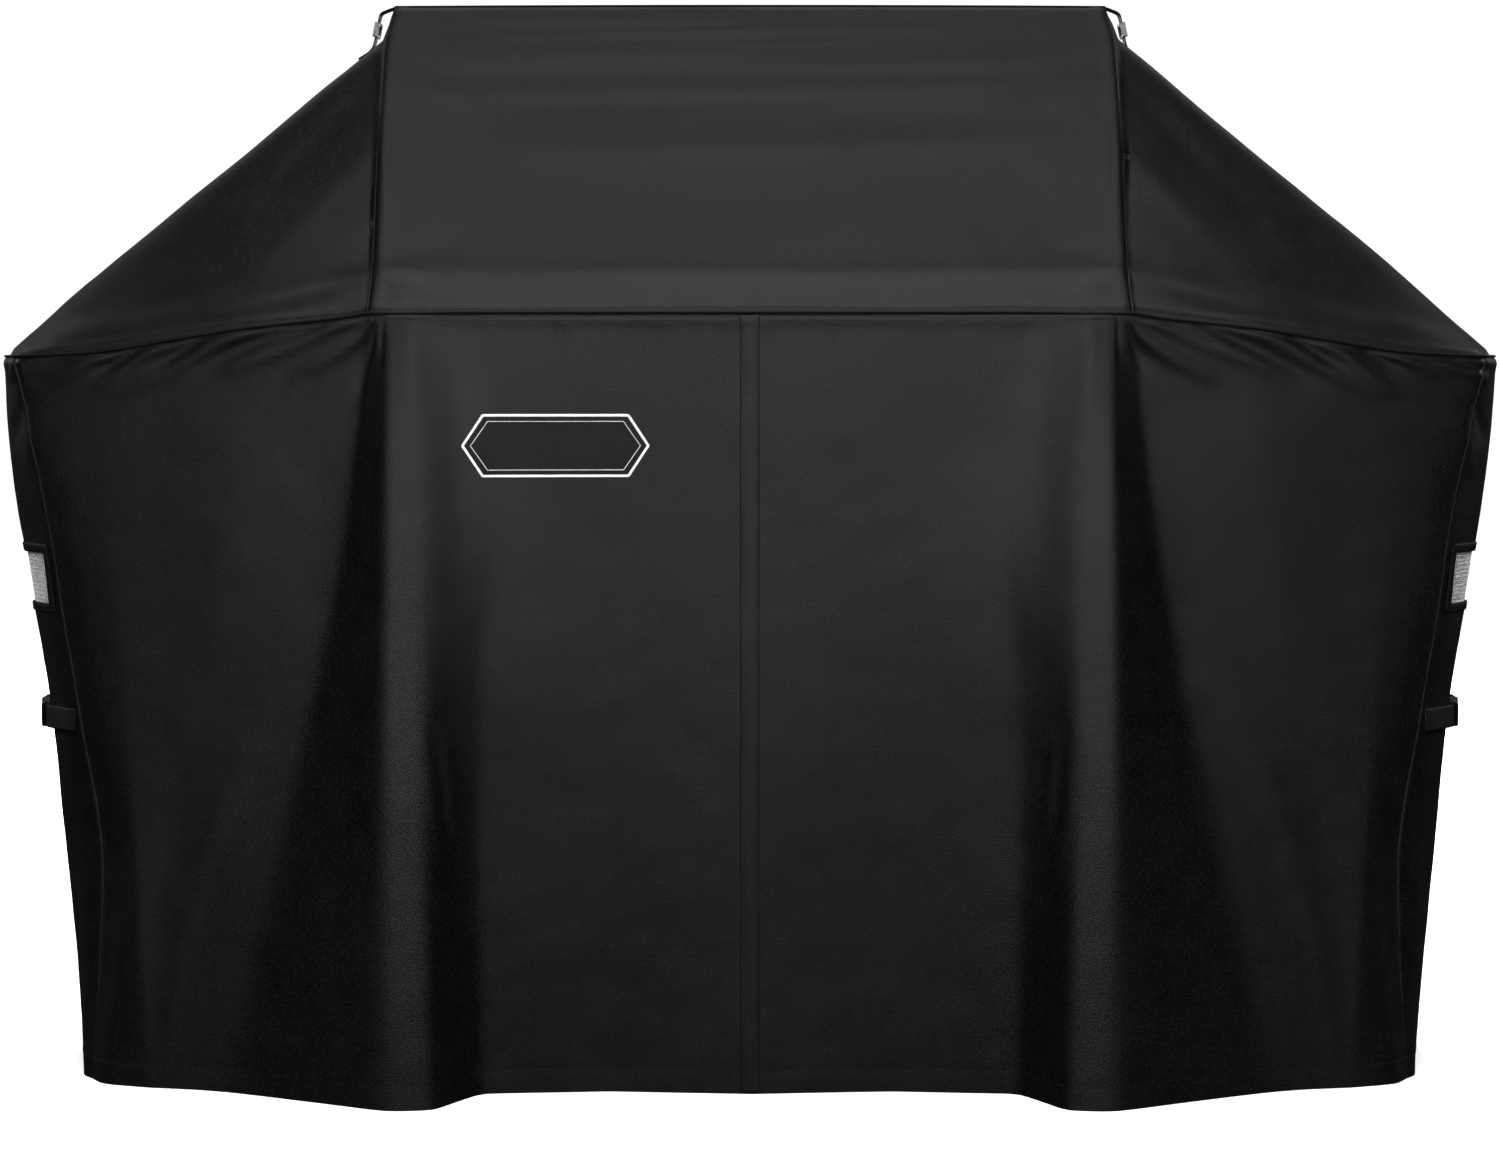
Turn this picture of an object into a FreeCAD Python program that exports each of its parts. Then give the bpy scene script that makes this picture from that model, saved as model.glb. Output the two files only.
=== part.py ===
import FreeCAD, Part
import math
import os

# Fitted cover for a cart grill with two side shelves, standing on its hem.
# Millimetres. +X is the viewer's right, -Y the front, +Z up.
# The origin is on the ground, under the middle of the cover's box.

V = FreeCAD.Vector

# ---- driving dimensions: the cloth body ------------------------------------------------
CLOTH = 2.0             # cloth with its lining and turned edges
TOP_Z = 1163.0          # top of the hood
HOOD_TOP_X = 384.0      # half width of the hood at its top edge
HOOD_TOP_Y = 185.0      # half depth of the hood's flat top
HOOD_END_X = 398.0      # half width where the shoulders meet the hood
HOOD_END_Z = 1130.0
LEDGE_X = 401.0         # half width of the centre strip at the control panel
LEDGE_Y = -270.0        # back edge of the ledge over the control panel
LEDGE_Z = 877.0
SEAM_Z = 832.0          # main seam at the centre, front and back
FRONT_Y = -320.0        # front of the control panel
BACK_Y = 335.0
SHELF_Z = 785.0         # main seam at the shelf corners
SHELF_X = 806.0         # half width over the shelves
VENT_TOP, VENT_BOTTOM = 574.0, 518.0
STRAP_Z = 392.0         # centre line of the side straps
HEM_Z = 0.0

# ---- driving dimensions: webbing and hardware ------------------------------------------
WEB_W = 25.0            # webbing width
WEB_T = 1.4
STRAP_X = 772.0         # inner face of the side strap
BUCKLE_W = 33.0
PLATE_X = STRAP_X + 1.8     # inner face of the buckle halves
BUCKLE_T = 11.0
BAR_T = 3.2
MOUTH_Y = -113.0        # where the two buckle halves meet
FEMALE_BACK_Y = -149.0
TAIL_X = PLATE_X + BAR_T + 0.4
LOOP_Y = -152.0         # centre of a hang loop, in depth
LOOP_T = 1.5

# ---- the skin's points, right half -----------------------------------------------------
# Front skirt columns, each (seam point, hem point): the cloth turns forward into one tall
# fold beside the control panel's corner, then falls back to the shelf's corner.
FRONT_COLUMNS = [
    ((0, FRONT_Y, SEAM_Z), (0, -314, HEM_Z)),
    ((300, FRONT_Y, SEAM_Z), (281, -314, HEM_Z)),
    ((345, FRONT_Y, SEAM_Z), (332, -390, HEM_Z)),
    ((375, FRONT_Y, SEAM_Z), (375, -397, HEM_Z)),
    ((402, -316, 831), (466, -342, HEM_Z)),
    ((527, -300, 810), (557, -304, HEM_Z)),
    ((691, -270, 790), (646, -280, HEM_Z)),
]
BACK_COLUMNS = [
    ((0, BACK_Y, SEAM_Z), (0, 330, HEM_Z)),
    ((300, BACK_Y, SEAM_Z), (290, 332, HEM_Z)),
    ((345, BACK_Y, SEAM_Z), (338, 390, HEM_Z)),
    ((375, BACK_Y, SEAM_Z), (376, 397, HEM_Z)),
    ((402, 330, 831), (440, 368, HEM_Z)),
    ((527, 315, 810), (550, 328, HEM_Z)),
    ((691, 285, 790), (646, 290, HEM_Z)),
]
# Side columns from the front corner to the back corner: x and y at each level.
SIDE_LEVELS = [
    (SHELF_Z, [(790, -248), (793, -240), (SHELF_X, -200), (SHELF_X, -60),
               (SHELF_X, 60), (SHELF_X, 200), (790, 250)]),
    (VENT_TOP, [(757, -240), (762, -232), (792, -190), (792, -80),
                (792, 80), (792, 190), (757, 240)]),
    (VENT_BOTTOM, [(753, -238), (758, -230), (784, -190), (784, -80),
                   (784, 80), (784, 190), (753, 238)]),
    (STRAP_Z, [(737, -235), (742, -227), (768, -185), (768, -80),
               (768, 80), (768, 185), (737, 235)]),
    (HEM_Z, [(716, -236), (728, -224), (744, -170), (760, -60),
             (760, 60), (744, 170), (720, 232)]),
]
VENT_CELLS = ((1, 1), (1, 2))       # (level, column) cells that the vent takes out


def level_row(columns, level, seam_row=False):
    """The points of the skirt columns at one level, each on its straight fall to the hem."""
    row = []
    for seam, hem in columns:
        t = 0.0 if seam_row else (seam[2] - level) / (seam[2] - hem[2])
        row.append(tuple(s + (h - s) * t for s, h in zip(seam, hem)))
    return row


def side_rows():
    return [[(x, y, z) for x, y in points] for z, points in SIDE_LEVELS]


def mirrored(rows):
    """The same rows on the left half, still running left to right seen from outside."""
    return [[(-x, y, z) for x, y, z in reversed(row)] for row in rows]


def front_skirt_rows():
    rows = []
    for k, (z, points) in enumerate(SIDE_LEVELS):
        corner = (points[0][0], points[0][1], z)
        rows.append(level_row(FRONT_COLUMNS, z, seam_row=k == 0) + [corner])
    return rows


def back_skirt_rows():
    rows = []
    for k, (z, points) in enumerate(SIDE_LEVELS):
        corner = (points[-1][0], points[-1][1], z)
        row = level_row(BACK_COLUMNS, z, seam_row=k == 0) + [corner]
        rows.append(row[::-1])
    return rows


def hood_front_rows():
    seam = [column[0] for column in FRONT_COLUMNS[:5]]
    seam = [(-x, y, z) for x, y, z in seam[:0:-1]] + seam
    edge = seam[-1][0]
    top = [(x * HOOD_TOP_X / edge, -HOOD_TOP_Y, TOP_Z) for x, _, _ in seam]
    ledge = [(x * LEDGE_X / edge, LEDGE_Y, LEDGE_Z) for x, _, _ in seam]
    return [top, ledge, seam]


def hood_back_rows():
    seam = [column[0] for column in BACK_COLUMNS[:5]]
    seam = [(-x, y, z) for x, y, z in seam[:0:-1]] + seam
    edge = seam[-1][0]
    top = [(x * HOOD_TOP_X / edge, HOOD_TOP_Y, TOP_Z) for x, _, _ in seam]
    return [top[::-1], seam[::-1]]


def hood_top_rows():
    return [hood_back_rows()[0][::-1], hood_front_rows()[0]]


def shoulder_polygons():
    """Right shoulder gusset: front face, slope, back face and the strip up the hood's end."""
    seam_front = [column[0] for column in FRONT_COLUMNS[-3:]] + [side_rows()[0][0]]
    seam_back = [column[0] for column in BACK_COLUMNS[-3:]] + [side_rows()[0][-1]]
    outer_front, outer_back = side_rows()[0][2], side_rows()[0][5]
    run = outer_front[0] - HOOD_END_X
    ridge = []
    for x in [HOOD_END_X] + [seam[0] for seam in seam_front[1:3]]:
        t = (x - HOOD_END_X) / run
        ridge.append((x, -HOOD_TOP_Y + (outer_front[1] + HOOD_TOP_Y) * t,
                      HOOD_END_Z + (outer_front[2] - HOOD_END_Z) * t))
    ridge.append(outer_front)
    ridge_back = [(x, -y, z) for x, y, z in ridge[:3]] + [outer_back]
    polygons = []
    ledge = (LEDGE_X, LEDGE_Y, LEDGE_Z)
    polygons.append([ridge[0], ledge, seam_front[1], ridge[1]])
    polygons.append([ledge, seam_front[0], seam_front[1]])
    polygons.append([ridge_back[1], seam_back[1], seam_back[0], ridge_back[0]])
    for i in (1, 2):
        polygons.append([ridge[i], seam_front[i], seam_front[i + 1], ridge[i + 1]])
        polygons.append([ridge_back[i + 1], seam_back[i + 1], seam_back[i], ridge_back[i]])
    polygons.append([outer_front, seam_front[3], side_rows()[0][1]])
    for i in range(2):
        polygons.append([ridge_back[i], ridge[i], ridge[i + 1], ridge_back[i + 1]])
    polygons.append([ridge_back[2], ridge[2]] + side_rows()[0][2:6])
    hood_front, hood_back = hood_front_rows()[0][-1], hood_back_rows()[0][0]
    polygons.append([hood_back, hood_front, ridge[0], ridge_back[0]])
    polygons.append([hood_front, ledge, ridge[0]])
    polygons.append([hood_back, ridge_back[0], seam_back[0]])
    return polygons


def grid_polygons(rows, left_out=()):
    """Four-sided cells of a grid whose rows run left to right seen from outside, top first."""
    return [[upper[i], lower[i], lower[i + 1], upper[i + 1]]
            for k, (upper, lower) in enumerate(zip(rows, rows[1:]))
            for i in range(len(upper) - 1) if (k, i) not in left_out]


def mirror_polygons(polygons):
    """The left-hand polygons, each still starting at the same corner."""
    return [[(-x, y, z) for x, y, z in p[:1] + p[:0:-1]] for p in polygons]


def triangles(polygons):
    for p in polygons:
        for i in range(1, len(p) - 1):
            corners = [V(*p[0]), V(*p[i]), V(*p[i + 1])]
            if (corners[1] - corners[0]).cross(corners[2] - corners[0]).Length > 1e-3:
                yield (p[0], p[i], p[i + 1])


def point_key(p):
    return tuple(round(c, 3) for c in p)


def point_normals(polygons):
    """The outward direction at each point, averaged over the faces that meet there."""
    found = {}
    for t in triangles(polygons):
        a, b, c = (V(*p) for p in t)
        normal = (b - a).cross(c - a)
        for p in t:
            found[point_key(p)] = found.get(point_key(p), V()) + normal
    for key, normal in found.items():
        if abs(key[2] - HEM_Z) < 1e-6:
            normal = V(normal.x, normal.y, 0)
        found[key] = normal.normalize()
    return found


def sheet(polygons, normals, outer=0.0, inner=-CLOTH):
    """A closed solid between two offsets of a faceted sheet."""
    def shifted(p, distance):
        return V(*p) + normals[point_key(p)] * distance

    faces, edges = [], {}
    for t in triangles(polygons):
        faces.append([shifted(p, outer) for p in t])
        faces.append([shifted(p, inner) for p in reversed(t)])
        for a, b in ((t[0], t[1]), (t[1], t[2]), (t[2], t[0])):
            pair = (point_key(a), point_key(b))
            if pair[::-1] in edges:
                del edges[pair[::-1]]
            else:
                edges[pair] = (a, b)
    for a, b in edges.values():
        top_a, top_b, low_a, low_b = (shifted(p, d) for d in (outer, inner) for p in (a, b))
        if point_key(a) < point_key(b):     # a neighbour splits this edge the same way
            faces += [[top_a, low_a, low_b], [top_a, low_b, top_b]]
        else:
            faces += [[top_a, low_a, top_b], [top_b, low_a, low_b]]
    shell = Part.makeShell([Part.Face(Part.makePolygon(f + [f[0]])) for f in faces])
    shell.sewShape()
    solid = Part.makeSolid(Part.Shell(shell.Faces))
    if solid.Volume < 0:
        solid.reverse()
    return solid.removeSplitter()


def cloth_panels():
    """Every cloth piece of the cover, as faceted sheets that meet edge to edge."""
    front, back, side = front_skirt_rows(), back_skirt_rows(), side_rows()
    panels = {
        "hood_front_panel": grid_polygons(hood_front_rows()),
        "hood_top_panel": grid_polygons(hood_top_rows()),
        "hood_back_panel": grid_polygons(hood_back_rows()),
        "right_shoulder": shoulder_polygons(),
        "left_shoulder": mirror_polygons(shoulder_polygons()),
        "front_skirt_right": grid_polygons(front),
        "front_skirt_left": grid_polygons(mirrored(front)),
        "back_skirt_right": grid_polygons(back),
        "back_skirt_left": grid_polygons(mirrored(back)),
        "side_skirt_right": grid_polygons(side, VENT_CELLS),
        "side_skirt_left": mirror_polygons(grid_polygons(side, VENT_CELLS)),
    }
    skin = [p for polygons in panels.values() for p in polygons]
    skin += [p for polygons in (grid_polygons(side), mirror_polygons(grid_polygons(side)))
             for p in polygons if p not in skin]
    normals = point_normals(skin)
    return {name: sheet(polygons, normals) for name, polygons in panels.items()}


# ---- trim ------------------------------------------------------------------------------
def seam_binding():
    """Welt along the main seam, standing just proud of the skin all the way round."""
    height, gap, proud = 4.0, 0.5, 2.0
    right_front = [c[0] for c in FRONT_COLUMNS]
    right_back = [c[0] for c in BACK_COLUMNS]
    right = right_front + side_rows()[0] + right_back[:0:-1]
    ring = right + [(0, BACK_Y, SEAM_Z)] + [(-x, y, z) for x, y, z in right[:0:-1]]
    ring.append(ring[0])
    upper = [(x, y, z + height - 2) for x, y, z in ring]
    lower = [(x, y, z - height) for x, y, z in ring]
    rows = [upper, lower]
    polygons = grid_polygons(rows)
    flat = {}
    for key, normal in point_normals(polygons).items():
        flat[key] = V(normal.x, normal.y, 0).normalize()
    return sheet(polygons, flat, outer=gap + proud, inner=gap)


def skirt_plane_y(z):
    """Depth of the flat middle of the front skirt at height z."""
    return FRONT_Y + (SEAM_Z - z) / SEAM_Z * (FRONT_COLUMNS[0][1][1] - FRONT_Y)


def on_front(x, z, proud):
    return V(x, skirt_plane_y(z) - proud, z)


def front_plate(outline, proud, thick):
    """A flat plate on the front skirt's middle: outline is (x, z) points."""
    near = [on_front(x, z, proud) for x, z in outline]
    face = Part.Face(Part.makePolygon(near + [near[0]]))
    return face.extrude(V(0, -thick, 0))


def centre_seam_strip():
    half, top, bottom = 10.5, 826.0, 0.5
    return front_plate([(-half, top), (half, top), (half, bottom), (-half, bottom)], 0.4, 1.2)


def badge():
    """Blank six-sided sewn patch."""
    middle_x, middle_z, half, point, rise = -204.0, 692.0, 78.0, 100.0, 34.0
    right = [(half, rise), (point, 0), (half, -rise)]
    outline = right + [(-x, -z) for x, z in right]
    return front_plate([(middle_x + x, middle_z + z) for x, z in outline], 0.4, 0.9)


def vent_polygons(margin):
    """The vent's field on the right side, with its edge moved out by margin."""
    rows = side_rows()[1:3]
    grown = []
    for k, row in enumerate(rows):
        points = [V(*p) for p in row[1:4]]
        lift = margin if k == 0 else -margin
        first = points[0] + (points[0] - points[1]).normalize() * margin
        last = points[2] + (points[2] - points[1]).normalize() * margin
        slope = (V(*rows[0][2]) - V(*rows[1][2])).normalize()
        grown.append([p + slope * lift for p in (first, points[1], last)])
    return [[tuple(p) for p in row] for row in grown]


def vent_mesh():
    """Netting sewn behind the side skirt's opening."""
    polygons = grid_polygons(vent_polygons(5.0))
    return sheet(polygons, point_normals(polygons), outer=-CLOTH - 0.7, inner=-CLOTH - 1.5)


def vent_binding():
    """Tape bound round the opening: a frame on the outside of the side skirt."""
    inner_rows, outer_rows = vent_polygons(1.0), vent_polygons(9.0)
    polygons = []
    top_in, low_in = inner_rows
    top_out, low_out = outer_rows
    for i in range(2):
        polygons.append([top_out[i], top_in[i], top_in[i + 1], top_out[i + 1]])
        polygons.append([low_in[i], low_out[i], low_out[i + 1], low_in[i + 1]])
    polygons.append([top_out[0], low_out[0], low_in[0], top_in[0]])
    polygons.append([top_in[2], low_in[2], low_out[2], top_out[2]])
    return sheet(polygons, point_normals(polygons), outer=1.9, inner=0.9)


# ---- webbing and buckles, right side ---------------------------------------------------
def box(x0, x1, y0, y1, z0, z1):
    return Part.makeBox(x1 - x0, y1 - y0, z1 - z0, V(x0, y0, z0))


def softened(shape, radius, direction):
    """Rounds the straight edges that run along one direction."""
    edges = [e for e in shape.Edges
             if abs(abs(e.tangentAt(e.FirstParameter).dot(direction)) - 1) < 1e-6]
    return shape.makeFillet(radius, edges)


def web_band(path, thickness):
    """Webbing lying across Z: path is (x, y) points of its inner face, thickness to its left."""
    points = [V(x, y, 0) for x, y in path]
    outer = []
    for i, p in enumerate(points):
        along = []
        if i:
            along.append((p - points[i - 1]).normalize())
        if i + 1 < len(points):
            along.append((points[i + 1] - p).normalize())
        mean = sum(along, V()).normalize()
        side = V(mean.y, -mean.x, 0)
        outer.append(p + side * (thickness / max(0.5, mean.dot(along[0]))))
    outline = points + outer[::-1]
    low = STRAP_Z - WEB_W / 2
    face = Part.Face(Part.makePolygon([V(p.x, p.y, low) for p in outline + outline[:1]]))
    return face.extrude(V(0, 0, WEB_W))


def front_strap():
    """From the corner seam round the corner, then round the female half's bar and back."""
    run = web_band([(741.7, -233.2), (STRAP_X, -184.2), (STRAP_X, -150.0)], WEB_T)
    low, high = STRAP_Z - WEB_W / 2, STRAP_Z + WEB_W / 2
    turn = box(STRAP_X, TAIL_X + WEB_T, -151.4, -150.0, low, high)
    back = box(TAIL_X, TAIL_X + WEB_T, -180.0, -150.0, low, high)
    return run.fuse(turn).fuse(back).removeSplitter()


def rear_strap():
    return box(STRAP_X, STRAP_X + WEB_T, -106.0, 178.0, STRAP_Z - WEB_W / 2, STRAP_Z + WEB_W / 2)


def strap_tail():
    """The webbing's free end: up behind the male half's first bar and back over both."""
    low, high = STRAP_Z - WEB_W / 2, STRAP_Z + WEB_W / 2
    turn = box(STRAP_X + WEB_T + 0.3, TAIL_X + WEB_T, -104.9, -103.5, low, high)
    run = box(TAIL_X, TAIL_X + WEB_T, -104.9, 30.0, low, high)
    return turn.fuse(run).removeSplitter()


def anchor_patch():
    return softened(box(770.7, 771.6, 136.0, 184.0, 373.5, 410.0), 4.0, V(1, 0, 0))


def strap_keeper():
    """Flat ring that holds the tail down on the strap."""
    wall, y0, y1 = 1.2, 0.0, 12.0
    low, high = STRAP_Z - WEB_W / 2 - 0.6, STRAP_Z + WEB_W / 2 + 0.6
    inside = box(STRAP_X - 0.35, TAIL_X + WEB_T + 0.4, y0 - 1, y1 + 1, low, high)
    ring = box(STRAP_X - 0.35 - wall, TAIL_X + WEB_T + 0.4 + wall, y0, y1, low - wall, high + wall)
    return softened(ring, 1.0, V(0, 1, 0)).cut(inside)


def buckle_female():
    """Housing open at the mouth and along both sides, with a bar for the front strap."""
    low, high = STRAP_Z - BUCKLE_W / 2, STRAP_Z + BUCKLE_W / 2
    body = box(PLATE_X, PLATE_X + BUCKLE_T, FEMALE_BACK_Y, MOUTH_Y, low, high)
    body = softened(body, 2.0, V(0, 1, 0))
    pocket = box(PLATE_X + 2, PLATE_X + BUCKLE_T - 2, -145.5, MOUTH_Y + 1, low - 1, high + 1)
    rails = box(PLATE_X, PLATE_X + BAR_T, -158.0, FEMALE_BACK_Y + 1, low + 0.5, high - 0.5)
    slot = box(PLATE_X - 1, PLATE_X + BAR_T + 1, -152.2, FEMALE_BACK_Y,
               STRAP_Z - WEB_W / 2 - 0.4, STRAP_Z + WEB_W / 2 + 0.4)
    return body.cut(pocket).fuse(rails).cut(slot).removeSplitter()


def buckle_male():
    """Base block with its guide tongue and a ladder of two bars for the rear strap."""
    low, high = STRAP_Z - BUCKLE_W / 2, STRAP_Z + BUCKLE_W / 2
    face_y = MOUTH_Y + 0.4
    block = softened(box(PLATE_X, PLATE_X + BUCKLE_T, face_y, -106.0, low, high), 2.0, V(0, 1, 0))
    tongue = box(PLATE_X + 3, PLATE_X + 8, -138.0, face_y + 1, STRAP_Z - 1.3, STRAP_Z + 1.3)
    ladder = box(PLATE_X, PLATE_X + BAR_T, -107.0, -84.0, low + 0.5, high - 0.5)
    web_low, web_high = STRAP_Z - WEB_W / 2 - 0.4, STRAP_Z + WEB_W / 2 + 0.4
    for y0, y1 in ((-106.0, -101.0), (-97.0, -90.0)):
        ladder = ladder.cut(box(PLATE_X - 1, PLATE_X + BAR_T + 1, y0, y1, web_low, web_high))
    return block.fuse(tongue).fuse(ladder).removeSplitter()


def buckle_prong(sign):
    """One springy arm with its release pad; sign is +1 for the upper and -1 for the lower."""
    outline = [(-113.0, 4.5), (-113.0, 8.5), (-124.0, 9.5), (-127.5, 15.5), (-128.5, 17.5),
               (-136.5, 17.5), (-142.0, 10.0), (-144.0, 5.5), (-140.0, 4.2), (-124.0, 5.2)]
    points = [V(PLATE_X + 2.5, y, STRAP_Z + sign * z) for y, z in outline]
    return Part.Face(Part.makePolygon(points + points[:1])).extrude(V(6.0, 0, 0))


# ---- hang loops, right side ------------------------------------------------------------
LOOP_PATH = [
    (364.0, TOP_Z + 0.5),
    (384.5, TOP_Z + 0.5),
    (402.0, 1157.0),
    (409.1, 1121.4),
    (426.0, 1107.4),
]


def hang_loop():
    """Webbing sewn on the hood's top and on the shoulder, standing clear of the corner."""
    points = [V(x, 0, z) for x, z in LOOP_PATH]
    outer = []
    for i, p in enumerate(points):
        along = []
        if i:
            along.append((p - points[i - 1]).normalize())
        if i + 1 < len(points):
            along.append((points[i + 1] - p).normalize())
        mean = sum(along, V()).normalize()
        side = V(-mean.z, 0, mean.x)
        outer.append(p + side * (LOOP_T / max(0.5, mean.dot(along[0]))))
    outline = [V(p.x, LOOP_Y - WEB_W / 2, p.z) for p in points + outer[::-1] + points[:1]]
    return Part.Face(Part.makePolygon(outline)).extrude(V(0, WEB_W, 0))


def hang_loop_slider():
    """Three-bar slide on the loop's outer run: two bars inside the webbing, one outside."""
    start, end = V(LOOP_PATH[2][0], 0, LOOP_PATH[2][1]), V(LOOP_PATH[3][0], 0, LOOP_PATH[3][1])
    along = (end - start).normalize()
    length, bar, play, rail = 16.0, 3.0, 0.25, 2.6
    half = WEB_W / 2 + play
    thick = 2 * 1.8 + LOOP_T + 2 * play
    # drawn flat (X outward, Z along the run), then turned onto the run
    outer = box(-1.8 - play, thick - 1.8 - play, -half - rail, half + rail, -length / 2, length / 2)
    outer = softened(outer, 1.2, V(1, 0, 0))
    web = box(-play, LOOP_T + play, -half, half, -length, length)
    inner_window = box(-5, 0, -half, half, -length / 2 + bar, length / 2 - bar)
    upper_gap = box(LOOP_T, 9, -half, half, bar / 2, length)
    lower_gap = box(LOOP_T, 9, -half, half, -length, -bar / 2)
    slide = outer.cut(web).cut(inner_window).cut(upper_gap).cut(lower_gap)
    angle = math.degrees(math.atan2(along.x, -along.z))
    middle = (start + end) * 0.5
    turn = FreeCAD.Rotation(V(0, 1, 0), -angle)
    slide.Placement = FreeCAD.Placement(V(middle.x, LOOP_Y, middle.z), turn)
    return slide


def right_side_pieces():
    return {
        "vent_mesh": vent_mesh(),
        "vent_binding": vent_binding(),
        "front_strap": front_strap(),
        "rear_strap": rear_strap(),
        "strap_tail": strap_tail(),
        "anchor_patch": anchor_patch(),
        "strap_keeper": strap_keeper(),
        "buckle_female": buckle_female(),
        "buckle_male": buckle_male(),
        "buckle_prong_upper": buckle_prong(1),
        "buckle_prong_lower": buckle_prong(-1),
        "hang_loop": hang_loop(),
        "hang_loop_slider": hang_loop_slider(),
    }


def all_pieces():
    pieces = cloth_panels()
    pieces["main_seam_binding"] = seam_binding()
    pieces["centre_seam_strip"] = centre_seam_strip()
    pieces["badge"] = badge()
    for name, shape in right_side_pieces().items():
        pieces["right_" + name] = shape
        pieces["left_" + name] = shape.mirror(V(0, 0, 0), V(1, 0, 0))
    return pieces


def main():
    os.makedirs("parts", exist_ok=True)
    for name, shape in all_pieces().items():
        shape.exportStep(f"parts/{name}.step")
        solids = len(shape.Solids)
        print(f"{name}: {solids} solid, valid {shape.isValid()}, {shape.Volume / 1000:.2f} cm3")


main()
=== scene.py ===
import math

import bmesh
import bpy
import numpy as np
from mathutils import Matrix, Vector


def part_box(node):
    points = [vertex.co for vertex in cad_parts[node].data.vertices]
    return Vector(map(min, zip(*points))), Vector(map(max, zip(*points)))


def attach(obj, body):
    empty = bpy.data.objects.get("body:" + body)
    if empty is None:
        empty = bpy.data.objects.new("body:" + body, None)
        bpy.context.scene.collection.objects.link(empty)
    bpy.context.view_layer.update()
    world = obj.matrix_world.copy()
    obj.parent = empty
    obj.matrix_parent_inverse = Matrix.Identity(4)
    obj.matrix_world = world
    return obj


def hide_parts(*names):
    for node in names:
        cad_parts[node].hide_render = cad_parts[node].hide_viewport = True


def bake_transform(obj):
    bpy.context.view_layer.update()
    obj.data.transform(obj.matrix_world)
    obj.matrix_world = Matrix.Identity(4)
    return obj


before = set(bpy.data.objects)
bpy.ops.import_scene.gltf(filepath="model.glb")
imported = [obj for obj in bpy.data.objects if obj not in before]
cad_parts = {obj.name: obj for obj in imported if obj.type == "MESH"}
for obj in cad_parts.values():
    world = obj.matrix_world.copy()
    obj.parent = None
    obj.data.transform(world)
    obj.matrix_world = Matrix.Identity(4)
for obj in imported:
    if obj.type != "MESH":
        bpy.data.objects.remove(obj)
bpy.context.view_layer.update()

MM = 0.001

# ---- the cover's own sizes, in millimetres ---------------------------------------------
TOP_Z, HOOD_TOP_X, HOOD_TOP_Y = 1163.0, 384.0, 185.0
SHELF_Z, SHELF_X = 785.0, 811.0
SEAM_Z = 832.0
VENT_TOP, VENT_BOTTOM = 574.0, 518.0
VENT_Z = (VENT_TOP + VENT_BOTTOM) / 2
STRAP_Z = 392.0
STRAP_IN_X, STRAP_OUT_X = 772.7, 778.1      # middles of a strap's two layers of webbing
WEBBING_W, WEBBING_T = 25, 1.4
HOOD_FOOT_X = 402       # half the hood's width where it meets the main seam
RIDGE_Y = 200           # a shoulder's ridges meet the shelf's end this far from the middle
SIDE_U = 1010           # the side's middle, as a distance round from the front's middle
HEM_STITCH_Z = 25
HEM_ROWS = (27, 24.5, 22, 17, 12, 7, 3.5, 1.2, 0)   # heights of the hem's rows
PACKING_CREASES = (616.0, 371.0, 164.0)             # heights of the creases from the box
SIDES = ("right", "left")
CELL = 6.0              # size of a cloth cell
CLOTH_T = 1.5           # thickness of the cloth that shows

# Skirt columns of the right half, front to back. Each column is (seam height, [(share of
# the way down, x, y), ...]), and the cloth runs smoothly through all of them.
FRONT_COLUMNS = [
    (832, [(0, 0, -320), (.15, 0, -321), (.5, 0, -320), (1, 0, -314)]),
    (832, [(0, 160, -320), (.3, 158, -319), (.7, 155, -311), (1, 152, -302)]),
    (832, [(0, 290, -320), (.15, 266, -323), (.3, 270, -331), (.45, 281, -333), (.6, 287, -329),
           (.8, 288, -322), (1, 286, -314)]),
    (832, [(0, 318, -320), (.15, 306, -330), (.3, 304, -341), (.45, 309, -348), (.6, 311, -349),
           (.8, 309, -346), (1, 307, -348)]),
    (832, [(0, 345, -320), (.05, 344, -331), (.15, 343, -344), (.3, 341, -358), (.5, 339, -372),
           (.7, 336, -383), (1, 331, -392)]),
    (832, [(0, 377, -320), (.05, 378, -333), (.15, 379, -347), (.3, 380, -363), (.5, 381, -378),
           (.7, 381, -389), (1, 380, -397)]),
    (831, [(0, 392, -318), (.05, 394, -321), (.15, 397, -329), (.3, 404, -339), (.5, 418, -348),
           (.7, 432, -354), (.85, 443, -357), (1, 454, -358)]),
    (831, [(0, 402, -316), (.05, 406, -311), (.15, 414, -310), (.3, 430, -311), (.5, 462, -311),
           (.7, 502, -309), (.85, 530, -307), (1, 560, -305)]),
    (826, [(0, 430, -312), (.15, 440, -307), (.3, 462, -306), (.5, 502, -304), (.7, 545, -300),
           (1, 600, -293)]),
    (815, [(0, 540, -297), (.3, 560, -297), (.5, 582, -293), (.7, 605, -289), (1, 626, -288)]),
    (790, [(0, 691, -270), (.3, 680, -274), (.5, 670, -277), (.7, 662, -280), (1, 648, -284)]),
    (787, [(0, 745, -259), (.3, 726, -259), (.5, 699, -264), (.7, 672, -268), (.85, 682, -268),
           (1, 701, -266)]),
]
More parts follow.
